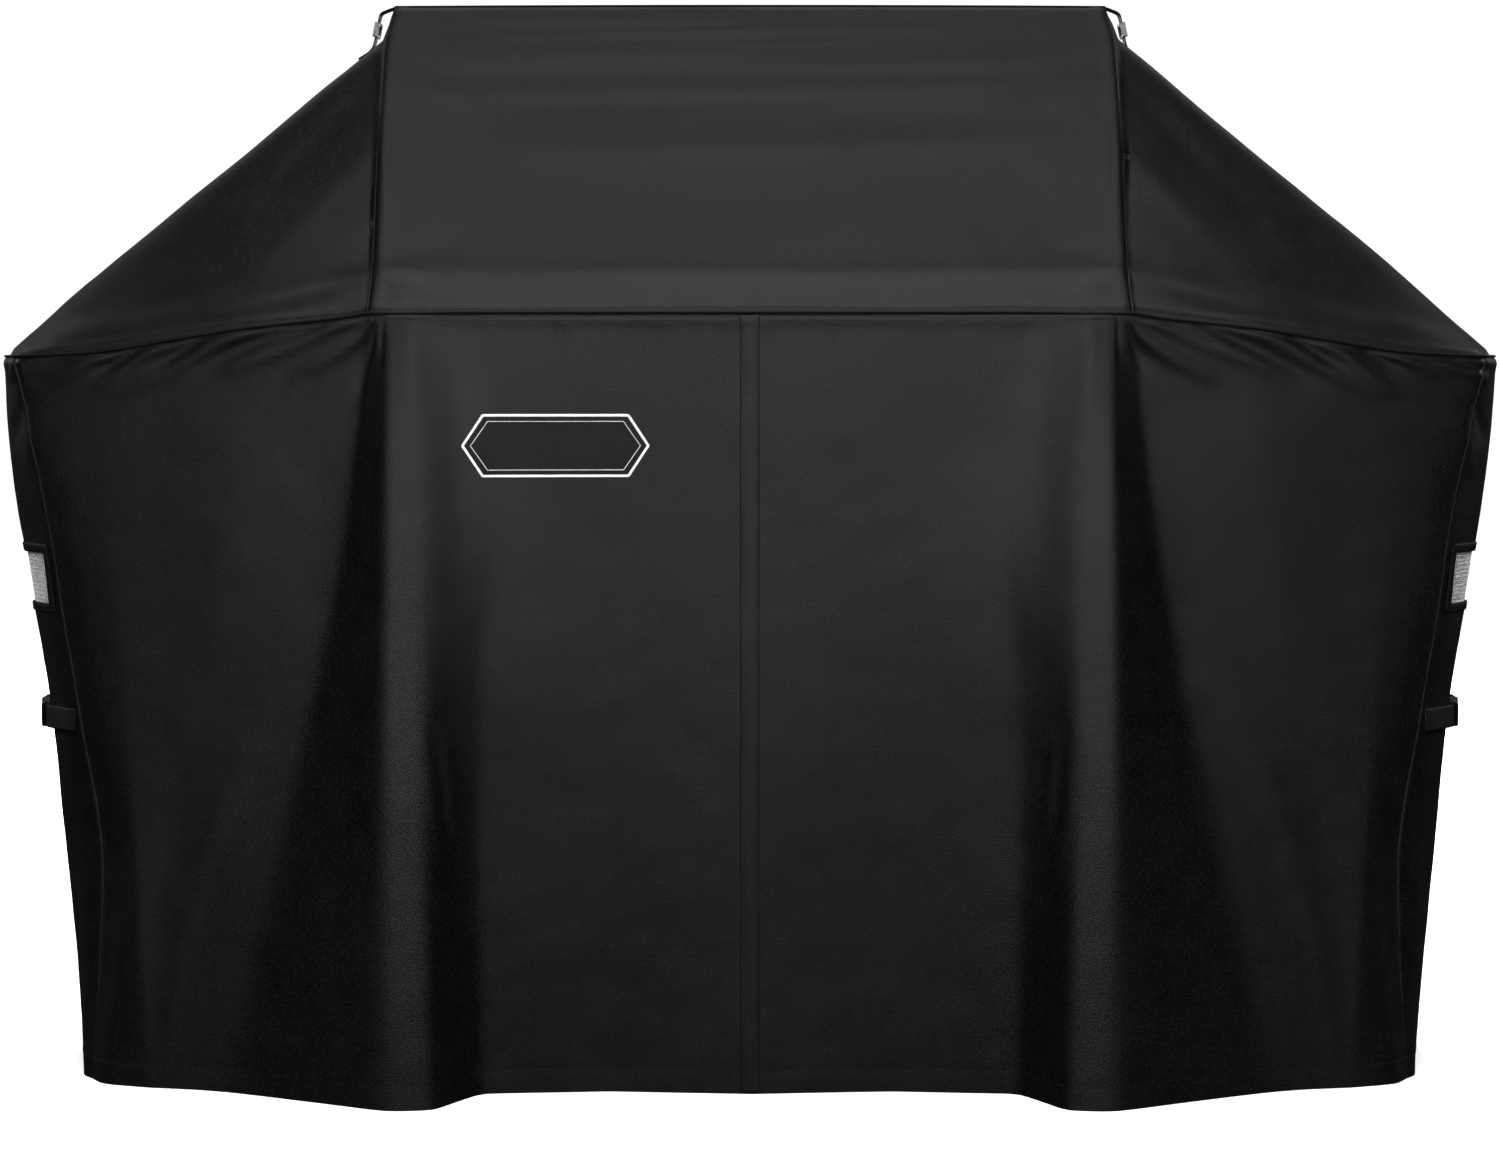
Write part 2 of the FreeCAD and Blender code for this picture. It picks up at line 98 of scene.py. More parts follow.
SIDE_COLUMNS = [
    (785, [(0, 790, -248), (.27, 748, -244), (.34, 741, -243), (.5, 722, -242), (.7, 700, -240),
           (.85, 706, -238), (1, 716, -238)]),
    (785, [(0, 797, -236), (.27, 762, -231), (.34, 758, -229), (.5, 743, -226), (.7, 728, -222),
           (1, 729, -224)]),
    (785, [(0, 811, -200), (.09, 809, -198), (.2, 801, -193), (.27, 793, -190), (.34, 785, -190),
           (.5, 768, -185), (.65, 758, -180), (1, 738, -171)]),
    (785, [(0, 811, -60), (.27, 792, -80), (.34, 784, -80), (.5, 768, -80), (1, 760, -60)]),
    (785, [(0, 811, 60), (.27, 792, 80), (.34, 784, 80), (.5, 768, 80), (1, 760, 60)]),
    (785, [(0, 811, 200), (.2, 801, 193), (.34, 785, 190), (.5, 768, 185), (1, 738, 171)]),
    (785, [(0, 790, 250), (.27, 757, 240), (.34, 753, 238), (.5, 737, 235), (1, 722, 232)]),
]
BACK_COLUMNS = [
    (790, [(0, 691, 285), (.5, 668, 288), (1, 648, 292)]),
    (822, [(0, 455, 325), (.5, 520, 322), (1, 600, 308)]),
    (831, [(0, 402, 330), (.3, 416, 338), (.6, 430, 353), (1, 452, 366)]),
    (832, [(0, 384, 335), (.3, 385, 361), (.6, 382, 382), (1, 378, 397)]),
    (832, [(0, 350, 335), (.3, 346, 357), (.6, 341, 377), (1, 336, 391)]),
    (832, [(0, 300, 335), (.5, 296, 335), (1, 288, 332)]),
    (832, [(0, 160, 335), (.5, 160, 333), (1, 156, 324)]),
    (832, [(0, 0, 335), (.5, 0, 336), (1, 0, 331)]),
]
# Fold line up the hood's end, from the main seam to the top corner: x, y, z.
HOOD_EDGE = [(HOOD_FOOT_X, -316, 831), (401, -270, 877), (399, -236, 1005), (394, -203, 1125),
             (HOOD_TOP_X, -HOOD_TOP_Y, TOP_Z)]
HOOD_EDGE_BACK = [(HOOD_FOOT_X, 330, 831), (396, 262, 985), (391, 202, 1125),
                  (HOOD_TOP_X, HOOD_TOP_Y, TOP_Z)]
RIDGE_START = (399, -187, 1129)     # where a shoulder's ridge leaves the hood

# Folds as (start, end, width, height). On the skirt a place is (distance round from the
# front's middle, distance below the seam); on a shoulder's front it is (x, z).
SHELF_FOLDS = (
    ((404, -6), (540, 46), 9, 2.6), ((452, -4), (600, 44), 9, 2.8),
    ((420, -8), (470, 60), 10, -1.6), ((520, -6), (640, 36), 7, -1.7),
    ((556, -4), (690, 40), 8, 2.2), ((612, -5), (668, 28), 4.5, -2.6),
    ((640, -4), (716, 34), 6, 2.4), ((668, -4), (722, 18), 4.5, -2.5),
    ((690, -4), (760, 26), 6, 2.3), ((722, -3), (790, 14), 4.5, -2.4),
    ((742, 4), (812, 22), 6, 2.0), ((480, -5), (560, 22), 5, -1.5))
TENSION_FOLDS = (
    ((402, -4), (404, 60), 6, -1.6), ((360, -30), (358, 130), 14, 2.6),
    ((770, 40), (840, 96), 9, -2.2), ((764, 66), (820, 130), 9, 1.8),
    ((330, 420), (318, 560), 9, -1.6), ((318, 440), (306, 560), 7, 1.6),
    ((340, 470), (322, 600), 6, 1.7), ((332, 500), (300, 570), 6, -1.3),
    ((480, 300), (610, 800), 26, 2.0), ((560, 330), (690, 780), 34, -1.2))
SHOULDER_FRONT_FOLDS = (
    ((404, 1085), (560, 905), 14, -1.6), ((404, 1010), (520, 880), 14, 1.3),
    ((410, 868), (560, 824), 9, 1.8), ((420, 846), (640, 806), 8, -1.2),
    ((600, 838), (800, 790), 13, 3.0), ((540, 880), (720, 800), 12, -1.8))


# ---- lines and surfaces ----------------------------------------------------------------
def through(knots, values, at):
    """Smooth values through the knots, without overshoot."""
    knots, values, at = np.asarray(knots, float), np.asarray(values, float), np.asarray(at, float)
    step = np.diff(knots)[:, None]
    rise = np.diff(values, axis=0) / step
    slope = np.zeros_like(values)
    if len(knots) > 2:
        left, right = rise[:-1], rise[1:]
        w1, w2 = 2 * step[1:] + step[:-1], step[1:] + 2 * step[:-1]
        same = left * right > 0
        safe_l, safe_r = np.where(same, left, 1), np.where(same, right, 1)
        slope[1:-1] = np.where(same, (w1 + w2) / (w1 / safe_l + w2 / safe_r), 0)
    slope[0], slope[-1] = rise[0], rise[-1]
    k = np.clip(np.searchsorted(knots, at, side="right") - 1, 0, len(knots) - 2)
    h = (knots[k + 1] - knots[k])[:, None]
    t = ((at - knots[k])[:, None] / h)
    return (values[k] * (1 + 2 * t) * (1 - t) ** 2 + values[k + 1] * t * t * (3 - 2 * t)
            + slope[k] * h * t * (1 - t) ** 2 - slope[k + 1] * h * t * t * (1 - t))


def lengths(line):
    return np.concatenate([[0], np.cumsum(np.linalg.norm(np.diff(line, axis=0), axis=1))])


def spread(line, at):
    """Points of a polyline at the given distances along it."""
    run = lengths(line)
    return np.stack([np.interp(at, run, line[:, k]) for k in range(3)], axis=1)


def soften(grid, sigma, axis, closed=False):
    """Gaussian rounding along one axis, in cells. Open ends stay where they are."""
    reach = int(3 * sigma) + 1
    kernel = np.exp(-0.5 * (np.arange(-reach, reach + 1) / sigma) ** 2)
    kernel /= kernel.sum()
    g = np.moveaxis(grid, axis, 0)
    if closed:
        padded = np.concatenate([g[-reach:], g, g[:reach]])
    else:
        padded = np.concatenate([2 * g[0] - g[reach:0:-1], g, 2 * g[-1] - g[-2:-reach - 2:-1]])
    out = sum(k * padded[i:i + len(g)] for i, k in enumerate(kernel))
    return np.moveaxis(out, 0, axis)


def outward(grid, closed=False):
    """Unit normals of a grid whose rows run down and whose columns run left to right."""
    down = np.gradient(grid, axis=0)
    if closed:
        across = (np.roll(grid, -1, axis=1) - np.roll(grid, 1, axis=1)) / 2
    else:
        across = np.gradient(grid, axis=1)
    n = np.cross(down, across)
    size = np.linalg.norm(n, axis=2, keepdims=True)
    return n / np.maximum(size, 1e-9)


def waves(points, size, seed, count=28):
    """A soft random field with features about size across and a spread near 1."""
    rng = np.random.default_rng(seed)
    field = np.zeros(points.shape[:-1])
    for _ in range(count):
        way = rng.normal(size=3)
        way *= 2 * math.pi / size / np.linalg.norm(way) * rng.uniform(0.6, 1.4)
        field += np.cos(points @ way + rng.uniform(0, 2 * math.pi))
    return field * math.sqrt(2 / count)


def crease(u, d, start, end, width, height):
    """A soft ridge (or valley) over a (u, d) chart, fading towards both ends."""
    su, sd = start
    eu, ed = end
    span = (eu - su) ** 2 + (ed - sd) ** 2
    t = ((u - su) * (eu - su) + (d - sd) * (ed - sd)) / span
    near = np.clip(t, 0, 1)
    off = np.hypot(u - su - near * (eu - su), d - sd - near * (ed - sd))
    fade = np.sin(np.clip(t, 0.0, 1.0) * math.pi) ** 0.7
    return height * fade * np.exp(-(off / width) ** 2)


def seam_dip(distance, depth=3.2, lip=0.9):
    """Cloth pulled in along a seam, with a rolled lip beside it."""
    return -depth * np.exp(-(distance / 3.0) ** 2) + lip * np.exp(-((distance - 9) / 5) ** 2)


DENSE = np.array([0, 1.2, 2.4, 3.6, 5, 6.5, 8.5, 11, 14, 18, 23])    # rows beside a seam


def rows_from_seam(total, both=False):
    """Distances along the cloth, close together beside the seam."""
    start = DENSE
    stop = total - DENSE[::-1] if both else np.array([total])
    middle = np.linspace(start[-1], stop[0], max(2, int((stop[0] - start[-1]) / CELL)))
    return np.concatenate([start, middle[1:-1], stop] if both else [start, middle[1:]])


# ---- the skirt ring --------------------------------------------------------------------
def build_ring():
    """The whole skirt as one closed grid (rows down, columns round), and its marks."""
    share = np.linspace(0, 1, 140)
    right = []
    for seam_z, stops in FRONT_COLUMNS + SIDE_COLUMNS + BACK_COLUMNS:
        w, xy = [s[0] for s in stops], [s[1:] for s in stops]
        flat = through(w, xy, share)
        right.append(np.column_stack([flat, seam_z * (1 - share)]))
    left = [column * (-1, 1, 1) for column in right[-2:0:-1]]
    columns = right + left
    grid, marks = [], []
    for k, column in enumerate(columns):
        following = columns[(k + 1) % len(columns)]
        gap = np.linalg.norm(following - column, axis=1).mean()
        cells = max(1, round(gap / CELL))
        marks.append(len(grid))
        for i in range(cells):
            t = i / cells
            grid.append(column * (1 - t) + following * t)
    grid = np.stack(grid, axis=1)
    grid = soften(grid, 1.5, axis=1, closed=True)
    grid = soften(grid, 1.5, axis=0)
    return grid, marks


RING, MARKS = build_ring()
N_FRONT, N_SIDE = len(FRONT_COLUMNS), len(SIDE_COLUMNS)
CORNER_F, CORNER_B = MARKS[N_FRONT], MARKS[N_FRONT + N_SIDE - 1]
BACK_C = MARKS[N_FRONT + N_SIDE + len(BACK_COLUMNS) - 1]
COUNT = RING.shape[1]
HOOD_R = MARKS[7]                                   # the column at the hood's corner
HOOD_BACK_R = MARKS[N_FRONT + N_SIDE + 2]
VENT_A, VENT_B = MARKS[N_FRONT + 1], MARKS[N_FRONT + 3]


def mirror_index(i):
    return (COUNT - i) % COUNT


def ring_rows():
    """Row places as shares of the way down: close at the seam, the vent's edges and the hem."""
    vent = [1 - VENT_TOP / SHELF_Z, 1 - VENT_BOTTOM / SHELF_Z]
    marks = [DENSE[-1] / SEAM_Z] + vent + [1 - HEM_ROWS[0] / SEAM_Z]
    rows = list(DENSE[:-1] / SEAM_Z)
    for a, b in zip(marks, marks[1:]):
        cells = max(1, round((b - a) * SEAM_Z / CELL))
        rows += list(np.linspace(a, b, cells, endpoint=False))
    return np.array(rows + list(1 - np.array(HEM_ROWS) / SEAM_Z))


def detailed_ring():
    """The skirt's grid with its folds, creases and seams, and its rows as shares."""
    share = ring_rows()
    old = np.linspace(0, 1, RING.shape[0])
    grid = np.stack([np.stack([np.interp(share, old, RING[:, j, k]) for k in range(3)], axis=1)
                     for j in range(COUNT)], axis=1)
    normals = outward(grid, closed=True)
    mid = grid[len(share) // 3]
    step = np.linalg.norm(np.roll(mid, -1, axis=0) - mid, axis=1)
    u = np.concatenate([[0], np.cumsum(step)[:-1]])
    total = step.sum()
    u = np.where(u > total / 2, u - total, u)       # signed way round from the front's middle
    u = np.broadcast_to(u, grid.shape[:2])
    d = grid[0, :, 2][None, :] - grid[:, :, 2]      # how far below the seam
    lift = np.zeros_like(d)
    rng = np.random.default_rng(11)
    for side in (-1, 1):
        s = u * side
        # soft folds that run down and outwards from the seam over the shelf
        for start, end, width, height in SHELF_FOLDS:
            shift = rng.uniform(-9, 9)
            grow = rng.uniform(1.0, 1.45)
            lift += crease(s, d, (start[0] + shift, start[1]),
                           (end[0] + shift, end[1] * grow), width, 1.35 * height * grow)
        for at in (30, 96, 180, 262):
            at += rng.uniform(-15, 15)
            lift += crease(s, d, (at, -8), (at + rng.uniform(-6, 6), 26), 7, 0.9)
        # tension folds from the hood's corner and the shelf's corner
        for fold in TENSION_FOLDS:
            lift += crease(s, d, *fold)
        # the back gathers the same way
        for at in np.arange(1290, 1660, 31.0):
            at += rng.uniform(-9, 9)
            lift += crease(s, d, (at, -8), (at + rng.uniform(-4, 14), rng.uniform(26, 60)),
                           rng.uniform(6, 9), rng.uniform(0.8, 2.4))
        for at in (930, 1010, 1090):
            lift += crease(s, d, (at + rng.uniform(-12, 12), -8), (at, 40), 8, 1.6)
    # packing creases
    for height in PACKING_CREASES:
        off = np.abs(grid[:, :, 2] - height + 2 * np.sin(u / 90))
        lift += np.where(off < 12, 0.16 * np.exp(-(off / 2.8) ** 2), 0)
    lift += 0.55 * waves(grid, 240, 3) + 0.13 * waves(grid, 70, 4) + 0.05 * waves(grid, 24, 5)
    # the hem: a doubled edge with its stitch line pulled in
    above = grid[:, :, 2]
    lift -= 0.2 * np.exp(-((above - HEM_STITCH_Z) / 2.6) ** 2)
    lift *= 1 - np.exp(-(d / 5.0) ** 2)
    # calm beside the straps and round the vents
    side_zone = np.exp(-((np.abs(u) - SIDE_U) / 190) ** 4)
    calm = side_zone * np.exp(-((above - STRAP_Z) / 34) ** 4)
    calm = np.maximum(calm, side_zone * np.exp(-((above - VENT_Z) / 46) ** 4))
    lift *= 1 - 0.9 * calm
    lift += seam_dip(d)
    grid = grid + normals * lift[:, :, None]
    grid[-1, :, 2] = np.maximum(grid[-1, :, 2], 0.0)
    return grid, share


SKIRT, SKIRT_ROWS = detailed_ring()
SKIRT_N = outward(SKIRT, closed=True)
SEAM_LINE = SKIRT[0]


def ring_slice(grid, a, b):
    """Columns a to b, going round."""
    count = (b - a) % COUNT
    return grid[:, [(a + i) % COUNT for i in range(count + 1)]]


# ---- meshes ----------------------------------------------------------------------------
def finish_mesh(name, bm, material):
    mesh = bpy.data.meshes.new(name)
    bm.to_mesh(mesh)
    bm.free()
    for polygon in mesh.polygons:
        polygon.use_smooth = True
    piece = bpy.data.objects.new(name, mesh)
    bpy.context.scene.collection.objects.link(piece)
    mesh.materials.append(material)
    return piece


def grid_piece(name, grid, material, skip=None, thick=CLOTH_T, closed=False):
    """A cloth panel from a grid in mm: rows run down, columns left to right from outside."""
    rows, cols = grid.shape[:2]
    bm = bmesh.new()
    cut = bm.loops.layers.uv.new("cut")
    verts = [[bm.verts.new(grid[i, j] * MM) for j in range(cols)] for i in range(rows)]
    across, down = [np.concatenate([[0], np.cumsum(
        np.linalg.norm(np.diff(grid, axis=axis), axis=2).mean(axis=1 - axis))]) for axis in (1, 0)]
    for i in range(rows - 1):
        for j in range(cols if closed else cols - 1):
            if skip is not None and skip[i, j]:
                continue
            k = (j + 1) % cols
            face = bm.faces.new((verts[i][j], verts[i + 1][j], verts[i + 1][k], verts[i][k]))
            places = ((i, j), (i + 1, j), (i + 1, j + 1), (i, j + 1))
            for loop, (r, c) in zip(face.loops, places):
                loop[cut].uv = (across[min(c, cols - 1)] * MM, -down[r] * MM)
    bmesh.ops.delete(bm, geom=[v for v in bm.verts if not v.link_faces], context="VERTS")
    bmesh.ops.remove_doubles(bm, verts=bm.verts, dist=2e-5)
    bmesh.ops.dissolve_degenerate(bm, edges=bm.edges, dist=1e-5)
    piece = finish_mesh(name, bm, material)
    if thick:
        shell = piece.modifiers.new("cloth", "SOLIDIFY")
        shell.thickness = thick * MM
        shell.offset = -1
        shell.use_rim = True
    return piece


# ---- materials -------------------------------------------------------------------------
class Nodes:
    """A short way to write a procedural material."""

    def __init__(self, name):
        self.material = bpy.data.materials.new(name)
        self.material.use_nodes = True
        self.tree = self.material.node_tree
        self.shader = self.tree.nodes["Principled BSDF"]
        self.place = self.tree.nodes.new("ShaderNodeTexCoord").outputs["Object"]

    def node(self, kind, inputs=(), **settings):
        made = self.tree.nodes.new("ShaderNode" + kind)
        for key, value in settings.items():
            setattr(made, key, value)
        for key, value in dict(inputs).items():
            self.put(made.inputs[key], value)
        return made

    def put(self, socket, value):
        if isinstance(value, bpy.types.NodeSocket):
            self.tree.links.new(value, socket)
        else:
            socket.default_value = value

    def set(self, **values):
        for key, value in values.items():
            self.put(self.shader.inputs[key.replace("_", " ")], value)

    def noise(self, scale, detail=3.0, rough=0.55):
        made = self.node("TexNoise", {"Vector": self.place, "Scale": scale,
                                      "Detail": detail, "Roughness": rough})
        return made.outputs["Fac"]

    def ramp(self, factor, low, high, a=0.3, b=0.7):
        made = self.node("ValToRGB", {"Fac": factor})
        for element, place, colour in zip(made.color_ramp.elements, (a, b), (low, high)):
            element.position = place
            element.color = (*colour, 1)
        return made.outputs["Color"]

    def span(self, factor, low, high, a=0.25, b=0.75):
        made = self.node("MapRange", {"Value": factor, "From Min": a, "From Max": b,
                                      "To Min": low, "To Max": high})
        return made.outputs["Result"]

    def math(self, operation, a, b):
        return self.node("Math", {0: a, 1: b}, operation=operation).outputs[0]

    def bump(self, height, distance, strength=1.0, normal=None):
        inputs = {"Height": height, "Distance": distance, "Strength": strength}
        if normal is not None:
            inputs["Normal"] = normal
        return self.node("Bump", inputs).outputs["Normal"]


def woven(name, dark, light, roughness=(0.42, 0.56), pitch=0.0011, sheen=0.12, weave=0.00012,
          spec=0.5):
    """Plain-weave cloth: crossed yarns, slubs, a mottled finish and a soft satin sheen."""
    m = Nodes(name)
    cut = m.node("UVMap", uv_map="cut").outputs["UV"]
    parts = m.node("SeparateXYZ", {0: cut})
    bands = []
    for axis in ("X", "Y"):
        turned = m.math("MULTIPLY", parts.outputs[axis], 2 * math.pi / pitch)
        bands.append(m.node("Math", {0: turned}, operation="SINE").outputs[0])
    yarns = m.math("MULTIPLY", bands[0], bands[1])
    slub = m.noise(420.0, 4.0, 0.6)
    mottle = m.noise(26.0, 5.0, 0.62)
    grain = m.noise(1500.0, 2.0, 0.7)
    tone = m.math("ADD", m.math("MULTIPLY", slub, 0.5), m.math("MULTIPLY", mottle, 0.14))
    tone = m.math("ADD", tone, m.math("MULTIPLY", grain, 0.36))
    m.set(Base_Color=m.ramp(tone, dark, light, 0.43, 0.58))
    m.set(Roughness=m.span(m.math("ADD", m.math("MULTIPLY", mottle, 0.25),
                                  m.math("MULTIPLY", slub, 0.75)), roughness[0], roughness[1],
                           0.35, 0.65))
    height = m.math("ADD", m.math("MULTIPLY", yarns, 0.5), m.math("MULTIPLY", slub, 0.9))
    fine = m.bump(height, weave, 0.8)
    m.set(Normal=m.bump(m.noise(480.0, 3.0, 0.7), 0.0008, 0.5, normal=fine))
    m.set(Specular_IOR_Level=spec, Sheen_Weight=sheen, Sheen_Roughness=0.45)
    m.shader.inputs["Sheen Tint"].default_value = (0.72, 0.76, 0.84, 1)
    return m.material


def plain(name, tones, rough, grain, **more):
    """Thread, netting or plastic. Each of tones, rough and grain starts with its noise."""
    m = Nodes(name)
    m.set(Base_Color=m.ramp(m.noise(*tones[0]), *tones[1:]),
          Roughness=m.span(m.noise(*rough[0]), *rough[1:]),
          Normal=m.bump(m.noise(*grain[0]), *grain[1:]))
    m.set(**more)
    return m.material


CLOTH = woven("cover_cloth", (0.0004, 0.0005, 0.0008), (0.0040, 0.0041, 0.0046),
              roughness=(0.33, 0.5), sheen=0.008, spec=0.15)
WELT = woven("seam_welt", (0.001, 0.001, 0.0012), (0.003, 0.003, 0.0033), pitch=0.0016,
             sheen=0.01, spec=0.1)
TAPE = woven("binding_tape", (0.0008, 0.0008, 0.001), (0.003, 0.003, 0.0033), pitch=0.0016,
             weave=0.0002, sheen=0.005, spec=0.08)
WEBBING = woven("webbing", (0.001, 0.001, 0.0012), (0.004, 0.004, 0.0045), roughness=(0.3, 0.46),
                pitch=0.0024, weave=0.0004, sheen=0.008, spec=0.12)
PATCH = woven("badge_patch", (0.0014, 0.0014, 0.0017), (0.005, 0.005, 0.0055), pitch=0.0015,
              weave=0.0002, roughness=(0.4, 0.55), sheen=0.01, spec=0.12)
THREAD = plain("thread", ((900.0,), (0.0012, 0.0012, 0.0014), (0.005, 0.005, 0.0055)),
               ((600.0,), 0.4, 0.6), ((2500.0,), 0.0001, 0.6),
               Sheen_Weight=0.01, Specular_IOR_Level=0.14)
PLASTIC = plain("moulded_plastic",
                ((60.0, 4.0), (0.003, 0.003, 0.0033), (0.008, 0.008, 0.0085)),
                ((340.0, 4.0), 0.24, 0.42), ((1400.0, 3.0), 0.00008, 0.5),
                Specular_IOR_Level=0.4)
NETTING = plain("netting", ((500.0,), (0.5, 0.51, 0.53), (0.72, 0.73, 0.75)),
                ((300.0,), 0.45, 0.65), ((1800.0,), 0.0001, 0.5), Sheen_Weight=0.2)
BORDER = plain("badge_border", ((700.0,), (0.8, 0.8, 0.79), (0.92, 0.92, 0.91)),
               ((400.0,), 0.5, 0.7), ((1900.0,), 0.0001, 0.6), Sheen_Weight=0.3)


# ---- cloth panels ----------------------------------------------------------------------
def skirt_panels():
    """The six skirt panels, and the rows at the vents' top and bottom edges."""
    vent = np.zeros((SKIRT.shape[0], COUNT), bool)
    a, b = [int(np.argmin(np.abs(SKIRT_ROWS - (1 - z / SHELF_Z)))) for z in (VENT_TOP, VENT_BOTTOM)]
    vent[a:b, VENT_A:VENT_B] = True
    vent[a:b, mirror_index(VENT_B):mirror_index(VENT_A)] = True
    spans = {
        "front_skirt_right": (0, CORNER_F),
        "side_skirt_right": (CORNER_F, CORNER_B),
        "back_skirt_right": (CORNER_B, BACK_C),
        "back_skirt_left": (BACK_C, mirror_index(CORNER_B)),
        "side_skirt_left": (mirror_index(CORNER_B), mirror_index(CORNER_F)),
        "front_skirt_left": (mirror_index(CORNER_F), 0),
    }
    made = {}
    for node, (i, j) in spans.items():
        skip = ring_slice(vent, i, j) if node.startswith("side") else None
        made[node] = grid_piece(node + "_cloth", ring_slice(SKIRT, i, j), CLOTH, skip)
    return made, (a, b)


def seam_part(a, b):
    """The main seam's points from ring column a to b, going round."""
    return ring_slice(SEAM_LINE[None], a, b)[0]


def hood_grid(edge, seam, rows=66, sigma=1.6, bow=1.2, sag=3.0):
    """A hood face: from its top edge, down the fold line's profile, to the main seam."""
    half = abs(seam[-1][0])
    columns = []
    for p in seam:
        f = p[0] / half
        line = edge * (f, 1, 1)
        line[-1] = p
        line[0] += (0, 0, bow * (1 - f * f))
        line[1:-2, 1] -= np.sign(line[1:-2, 1]) * sag * (1 - f ** 4)
        columns.append(spread(line, np.linspace(0, lengths(line)[-1], rows)))
    grid = soften(np.stack(columns, axis=1), sigma, axis=0)
    total = np.mean([lengths(grid[:, j])[-1] for j in range(grid.shape[1])])
    places = rows_from_seam(total, both=True) / total
    return np.stack([spread(grid[:, j], places * lengths(grid[:, j])[-1])
                     for j in range(grid.shape[1])], axis=1), places * total


def hood_front_piece():
    seam = seam_part(mirror_index(HOOD_R), HOOD_R)
    grid, down = hood_grid(np.array(HOOD_EDGE, float)[::-1], seam)
    normals = outward(grid)
    x, z = grid[:, :, 0], grid[:, :, 2]
    d = np.broadcast_to(down[:, None], x.shape)
    lift = 0.6 * waves(grid, 220, 21) + 0.14 * waves(grid, 70, 22) + 0.05 * waves(grid, 24, 23)
    # level ripples under the top edge
    for z0, x0, x1, width, height in (
            (1132, -330, 60, 8, 2.1), (1119, -190, 350, 7, -1.9), (1107, -340, 160, 7, 2.0),
            (1095, -60, 340, 7, 1.9), (1082, -340, 60, 8, -1.8), (1068, -120, 300, 9, 1.9),
            (1050, -340, 100, 10, -1.7), (1030, -200, 330, 12, -1.4), (1004, -330, 330, 18, 2.2),
            (950, -250, 320, 26, -0.9)):
        lift += crease(x, z, (x0, z0), (x1, z0 + 0.02 * (x1 - x0)), width, height)
    for side in (-1, 1):
        lift += crease(x * side, z, (396, 1100), (388, 900), 10, 1.8)
        lift += crease(x * side, z, (380, 1085), (250, 1040), 13, 1.3)
        lift += crease(x * side, z, (398, 872), (330, 850), 10, 1.6)
        lift += crease(x * side, z, (394, 890), (300, 905), 12, -1.2)
    edge = np.minimum(d, d[-1, 0] - d)
    lift *= 1 - np.exp(-(edge / 6.0) ** 2)
    lift += seam_dip(d[-1, 0] - d) + seam_dip(d, depth=1.6, lip=0.6)
    side_gap = HOOD_FOOT_X - np.abs(x) * HOOD_FOOT_X / np.maximum(np.abs(x[:, -1:]), 1)
    lift -= 2.4 * np.exp(-(side_gap / 3.4) ** 2) * (1 - np.exp(-(edge / 5.0) ** 2))
    lift += 0.7 * np.exp(-((side_gap - 11) / 6) ** 2)
    return grid_piece("hood_front_cloth", grid + normals * lift[:, :, None], CLOTH)


def hood_back_piece():
    seam = seam_part(HOOD_BACK_R, mirror_index(HOOD_BACK_R))
    edge = np.array(HOOD_EDGE_BACK, float)[::-1]
    flipped = seam * (-1, 1, 1)
    grid, down = hood_grid(edge, flipped[::-1] if flipped[0][0] > 0 else flipped, sag=4.0)
    if grid[0, 0, 0] < 0:
        grid = grid[:, ::-1]
    normals = outward(grid)
    x, z = grid[:, :, 0], grid[:, :, 2]
    d = np.broadcast_to(down[:, None], x.shape)
    lift = 0.8 * waves(grid, 220, 31) + 0.18 * waves(grid, 70, 32) + 0.05 * waves(grid, 24, 33)
    for z0, x0, x1, width, height in ((1120, -300, 140, 10, 1.4), (1094, -80, 320, 10, -1.3),
                                      (1060, -320, 60, 14, 1.5), (960, -260, 300, 24, 1.4)):
        lift += crease(x, z, (x0, z0), (x1, z0 - 0.03 * (x1 - x0)), width, height)
    edge_gap = np.minimum(d, d[-1, 0] - d)
    lift *= 1 - np.exp(-(edge_gap / 6.0) ** 2)
    lift += seam_dip(d[-1, 0] - d) + seam_dip(d, depth=1.6, lip=0.6)
    return grid_piece("hood_back_cloth", grid + normals * lift[:, :, None], CLOTH)


def hood_top_piece():
    """The flat top: it rolls over at all four edges."""
    across = np.linspace(-1, 1, 131)
    depth = np.concatenate([[0, 1.2, 2.5, 4.5, 7, 10], np.linspace(14, 356, 58),
                            [360, 363, 365.5, 367.5, 368.8, 370]]) - HOOD_TOP_Y
    grid = np.zeros((len(depth), len(across), 3))
    for i, y in enumerate(depth[::-1]):
        for j, f in enumerate(across):
            grid[i, j] = (f * HOOD_TOP_X, y, TOP_Z)
    x, y = grid[:, :, 0], grid[:, :, 1]
    fx, fy = np.clip(np.abs(x) / HOOD_TOP_X, 0, 1), np.abs(y) / HOOD_TOP_Y
    grid[:, :, 2] += 1.2 * (1 - fx ** 2)
    grid[:, :, 2] += 2.2 * (1 - fy ** 6) * (1 - fx ** 8)
    ripple = 0.5 * waves(grid, 120, 41) + 0.2 * waves(grid, 45, 42)
    grid[:, :, 2] += ripple * (1 - fy ** 8) * (1 - fx ** 8)
    return grid_piece("hood_top_cloth", grid, CLOTH)


